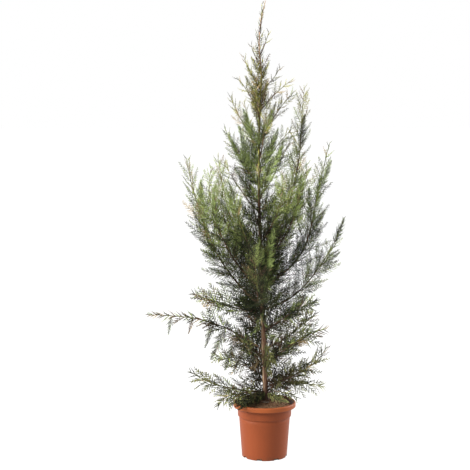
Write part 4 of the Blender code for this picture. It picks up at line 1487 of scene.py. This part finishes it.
# %% [markdown]
# Now every branch puts out its fingers, and every finger its leafy tips.  Branches and bare fingers
# are twigs, the cores of leafy fingers are green, and a branch ends in a few tips of its own.  The
# numbers of a habit are the spacing, where the first side shoot stands, the length of the side
# shoots as a share of the parent's, their angles at the parent's base and tip, their tilt out of
# the plane, their lift, how much lighter the outer ones are, and their radius.

# %% From branches to leafy tips
SHORT_SHOOT = 0.050
BRANCH_STEPS = 7
BRANCH_SIDES = 4
BRANCH_RADIUS = 0.0005
BRANCH_THICKENING = 0.0055
BRANCH_END = 0.35
FINGER_STEPS = 2
FINGER_SIDES = 3
FINGER_END = 0.6
CROWN_HABITS = (Habit(0.0052, 0.05, 0.36, 50.0, 34.0, 0.16, 0.06, 0.12, 0.0012),
                Habit(0.0044, 0.06, 0.27, 44.0, 30.0, 0.18, 0.05, 0.06))
LOW_HABITS = (Habit(0.0064, 0.04, 0.46, 50.0, 32.0, 0.20, -0.05, 0.02, 0.0021),
              Habit(0.0048, 0.06, 0.24, 28.0, 18.0, 0.14, 0.0, 0.04))
PLUME_HABITS = (Habit(0.0033, 0.03, 0.30, 44.0, 26.0, 0.09, 0.12, 0.08, 0.0014),
                Habit(0.0036, 0.05, 0.27, 40.0, 26.0, 0.12, 0.05, 0.06))
END_HABIT = Habit(0.0075, 0.30, 0.10, 36.0, 26.0, 0.18, 0.10, 0.06)
LEAF_LENGTH = (0.0050, 0.0125)
FINGER_CONTRAST = 0.21
CORE_DARK = 0.28
STRAY_TAN = 0.03
BARE_CHANCE = ((0.25, 0.48, 0.62), (0.44, 0.40, 0.06))
BARE_BELOW = 0.62
BARE_RADIUS = 0.0009


def add_tubes(parts, shoots, steps, radius, end, sides, tint):
    """Add to a list of parts a tube for each shoot, tapering to a share of its root radius."""
    taper = 1 - (1 - end) * np.arange(steps + 1) / steps
    radii = radius[:, None] * taper[None, :]
    corners, faces, owner = tube_arrays(*bent_paths(shoots, steps), shoots.normal, radii, sides)
    parts.append((corners, faces, tint[owner]))


def grow_mass(shoots, habit, finger_habit, draw, twigs, leaves, plume=False):
    """Carry branches on to fingers and leafy tips, and add them to the lists of parts."""
    branches = shoots.chosen(shoots.length >= SHORT_SHOOT)
    short = shoots.chosen(shoots.length < SHORT_SHOOT)
    add_tubes(twigs, branches, BRANCH_STEPS, BRANCH_RADIUS + BRANCH_THICKENING * branches.length,
              BRANCH_END, BRANCH_SIDES, wood_of(branches.shade, 0.30, 0.62))
    sides, parent = grow_sides(branches, habit, BRANCH_STEPS, draw)
    fingers = both(sides, short)
    contrast = draw.normal(0, FINGER_CONTRAST, len(fingers.length))
    fingers = fingers._replace(shade=fingers.shade + contrast)
    branch_family = families(branches, draw, plume)
    family = np.concatenate([branch_family[parent], families(short, draw, plume)])
    family = np.where(draw.uniform(0, 1, len(family)) < STRAY_TAN, FAMILY["tan"], family)

    dim = (branches.shade < BARE_BELOW) * (not plume)
    bare_chance = np.interp(branches.root[:, 2], *BARE_CHANCE) * dim
    bare = (draw.uniform(0, 1, len(bare_chance)) < bare_chance)[parent]
    bare = np.concatenate([bare, np.zeros(len(short.length), bool)])
    naked = fingers.chosen(bare)
    add_tubes(twigs, naked, FINGER_STEPS, np.full(len(naked.length), BARE_RADIUS),
              FINGER_END, FINGER_SIDES, wood_of(naked.shade, 0.25, math.inf))

    fingers, family = fingers.chosen(~bare), family[~bare]
    add_tubes(leaves, fingers, FINGER_STEPS, np.full(len(family), habit.radius),
              FINGER_END, FINGER_SIDES, family + level_of(fingers.shade - CORE_DARK))
    for parents, kind, leaf_habit, steps in (
            (fingers, family, finger_habit, FINGER_STEPS),
            (branches, branch_family, END_HABIT, BRANCH_STEPS)):
        tips, parent = grow_sides(parents, leaf_habit, steps, draw)
        tips = tips._replace(length=np.clip(tips.length, *LEAF_LENGTH))
        corners, faces, owner = leaf_arrays(tips)
        leaves.append((corners, faces, (kind[parent] + level_of(tips.shade))[owner]))


print("habits:", len(CROWN_HABITS + LOW_HABITS + PLUME_HABITS) + 1)

# %% [markdown]
# The stem of each mass goes on from its bough in the same taper.  Then leaves and twigs are joined,
# each kind apart, and the leaves take the place of the solid mass of the same limb.

# %% Grow the limbs
STEM_STEP = 0.010
STEM_SIDES = 6
STEM_SLIMMER = 0.0004


def stem_part(limb, course):
    """The stem of a mass as a tube, brown at its foot and greener towards its tip."""
    span = 1 - limb.bare
    steps = max(8, round(span * limb.length / STEM_STEP))
    shares = [limb.bare + span * number / steps for number in range(steps + 1)]
    points = np.array([[list(course.at(share)) for share in shares]])
    headings = np.array([[list(course.heading(share)) for share in shares]])
    radii = np.array([[limb_radius(limb, share) - STEM_SLIMMER * share for share in shares]])
    toward = math.radians(limb.toward)
    normal = np.array([[-math.sin(toward), math.cos(toward), 0.0]])
    corners, faces, _ = tube_arrays(points, headings, normal, radii, STEM_SIDES)
    ring = np.minimum(np.arange(len(faces)) // (2 * STEM_SIDES), steps - 1) / steps
    return corners, faces, wood_of(ring, 0.25, 0.495)


def leaf_slot(limb):
    """The record's slot of a limb's mass, by the height of its foot."""
    if limb.foot < 0.50:
        return "foliage_low"
    return "foliage_mid" if limb.foot < 1.25 else "foliage_top"


def leaves_and_twigs(name, slot, leaves, twigs, replaces=()):
    """The two pieces of a mass, and their number of triangles."""
    pieces = (placed(name + "_leaves", joined_mesh(name + "_leaves", leaves, False), slot, replaces),
              placed(name + "_twigs", joined_mesh(name + "_twigs", twigs, True), "bark"))
    return sum(len(piece.data.polygons) for piece in pieces)


total = 0
for number, limb in enumerate(LIMBS):
    draw = np.random.default_rng(1000 + number)
    twigs, leaves = [stem_part(limb, courses[limb.name])], []
    habits = LOW_HABITS if limb.lift < 0.2 else CROWN_HABITS
    grow_mass(limb_branches[limb.name], *habits, draw, twigs, leaves)
    if limb.name in PLUMES:
        grow_mass(plume_shoots(limb.name), *PLUME_HABITS, draw, twigs, leaves, plume=True)
    total += leaves_and_twigs(limb.name, leaf_slot(limb), leaves, twigs, ("foliage_" + limb.name,))
print("masses:", len(LIMBS), "with", total, "triangles")

# %% [markdown]
# The trunk itself bears branches between its limbs.  Low down they are long and come from its
# sides and back, so that its bare foot shows from the front.  Along the leader they are small,
# upright and tan.

# %% Grow the branches of the trunk
TRUNK_GROWTH_FROM = 0.262
TRUNK_GROWTH_TO = 1.868
TRUNK_GROWTH_STEP = ((0.36, 0.60, 0.92, 1.02, 1.32, 1.42),
                     (0.0046, 0.0074, 0.0090, 0.0180, 0.0160, 0.0056))
TRUNK_ANGLE = 68.0
TRUNK_ANGLE_LOSS = 46.0
TRUNK_ANGLE_JITTER = 10.0
FLAT_GROWTH_TO = 0.33
FLAT_GROWTH = 20.0
BARE_FRONT_TO = 0.54
BARE_FRONT = 50.0
TRUNK_GROWTH_LENGTH = 0.185
TRUNK_GROWTH_LENGTHS = (0.50, 1.1)
LENGTH_AT_TIP = 0.014
LENGTH_BELOW_TIP = 0.19
TRUNK_LIFTS = (0.1, 0.4)
TRUNK_SHADES = (0.12, 0.54)
TRUNK_CONTRAST = 0.15


def trunk_shoots():
    """Side shoots straight from the trunk, shorter towards the tip."""
    draw = random.Random("trunk growth")
    rows = []
    height = TRUNK_GROWTH_FROM
    while height < TRUNK_GROWTH_TO:
        number = len(rows)
        share = trunk_share(height)
        turn = (GOLDEN_TURN * number + draw.uniform(-ROLL_JITTER, ROLL_JITTER)) % 360
        if height < BARE_FRONT_TO and abs(turn - 270) < BARE_FRONT:
            turn += 180
        roll = math.radians(turn)
        angle = TRUNK_ANGLE + FLAT_GROWTH * (height < FLAT_GROWTH_TO) - TRUNK_ANGLE_LOSS * share
        angle = math.radians(angle + draw.uniform(-TRUNK_ANGLE_JITTER, TRUNK_ANGLE_JITTER))
        out = Vector((math.cos(roll), math.sin(roll), 0.0))
        heading = UP * math.cos(angle) + out * math.sin(angle)
        normal = heading.cross(UP).normalized()
        length = min(TRUNK_GROWTH_LENGTH, LENGTH_AT_TIP + LENGTH_BELOW_TIP * (TRUNK_TIP - height))
        length *= draw.uniform(*TRUNK_GROWTH_LENGTHS)
        lift = TRUNK_LIFTS[0] + TRUNK_LIFTS[1] * share
        shade = TRUNK_SHADES[0] + TRUNK_SHADES[1] * share + draw.gauss(0, TRUNK_CONTRAST)
        rows.append((trunk_point(height), heading, normal, length, lift, shade))
        height += np.interp(height, *TRUNK_GROWTH_STEP)
    return as_shoots(rows)


shoots = trunk_shoots()
plumes = plume_shoots("trunk")
draw = np.random.default_rng(77)
for name, slot, low, high, habits in (("trunk_low", "foliage_low", 0.0, 0.60, LOW_HABITS),
                                      ("trunk_mid", "foliage_mid", 0.60, 1.25, CROWN_HABITS),
                                      ("trunk_top", "foliage_top", 1.25, 2.0, CROWN_HABITS)):
    twigs, leaves = [], []
    grow_mass(shoots.chosen(shoots.between(low, high)), *habits, draw, twigs, leaves)
    grow_mass(plumes.chosen(plumes.between(low, high)), *PLUME_HABITS, draw, twigs, leaves, plume=True)
    total += leaves_and_twigs(name, slot, leaves, twigs)
print("with the trunk's growth:", total, "triangles")
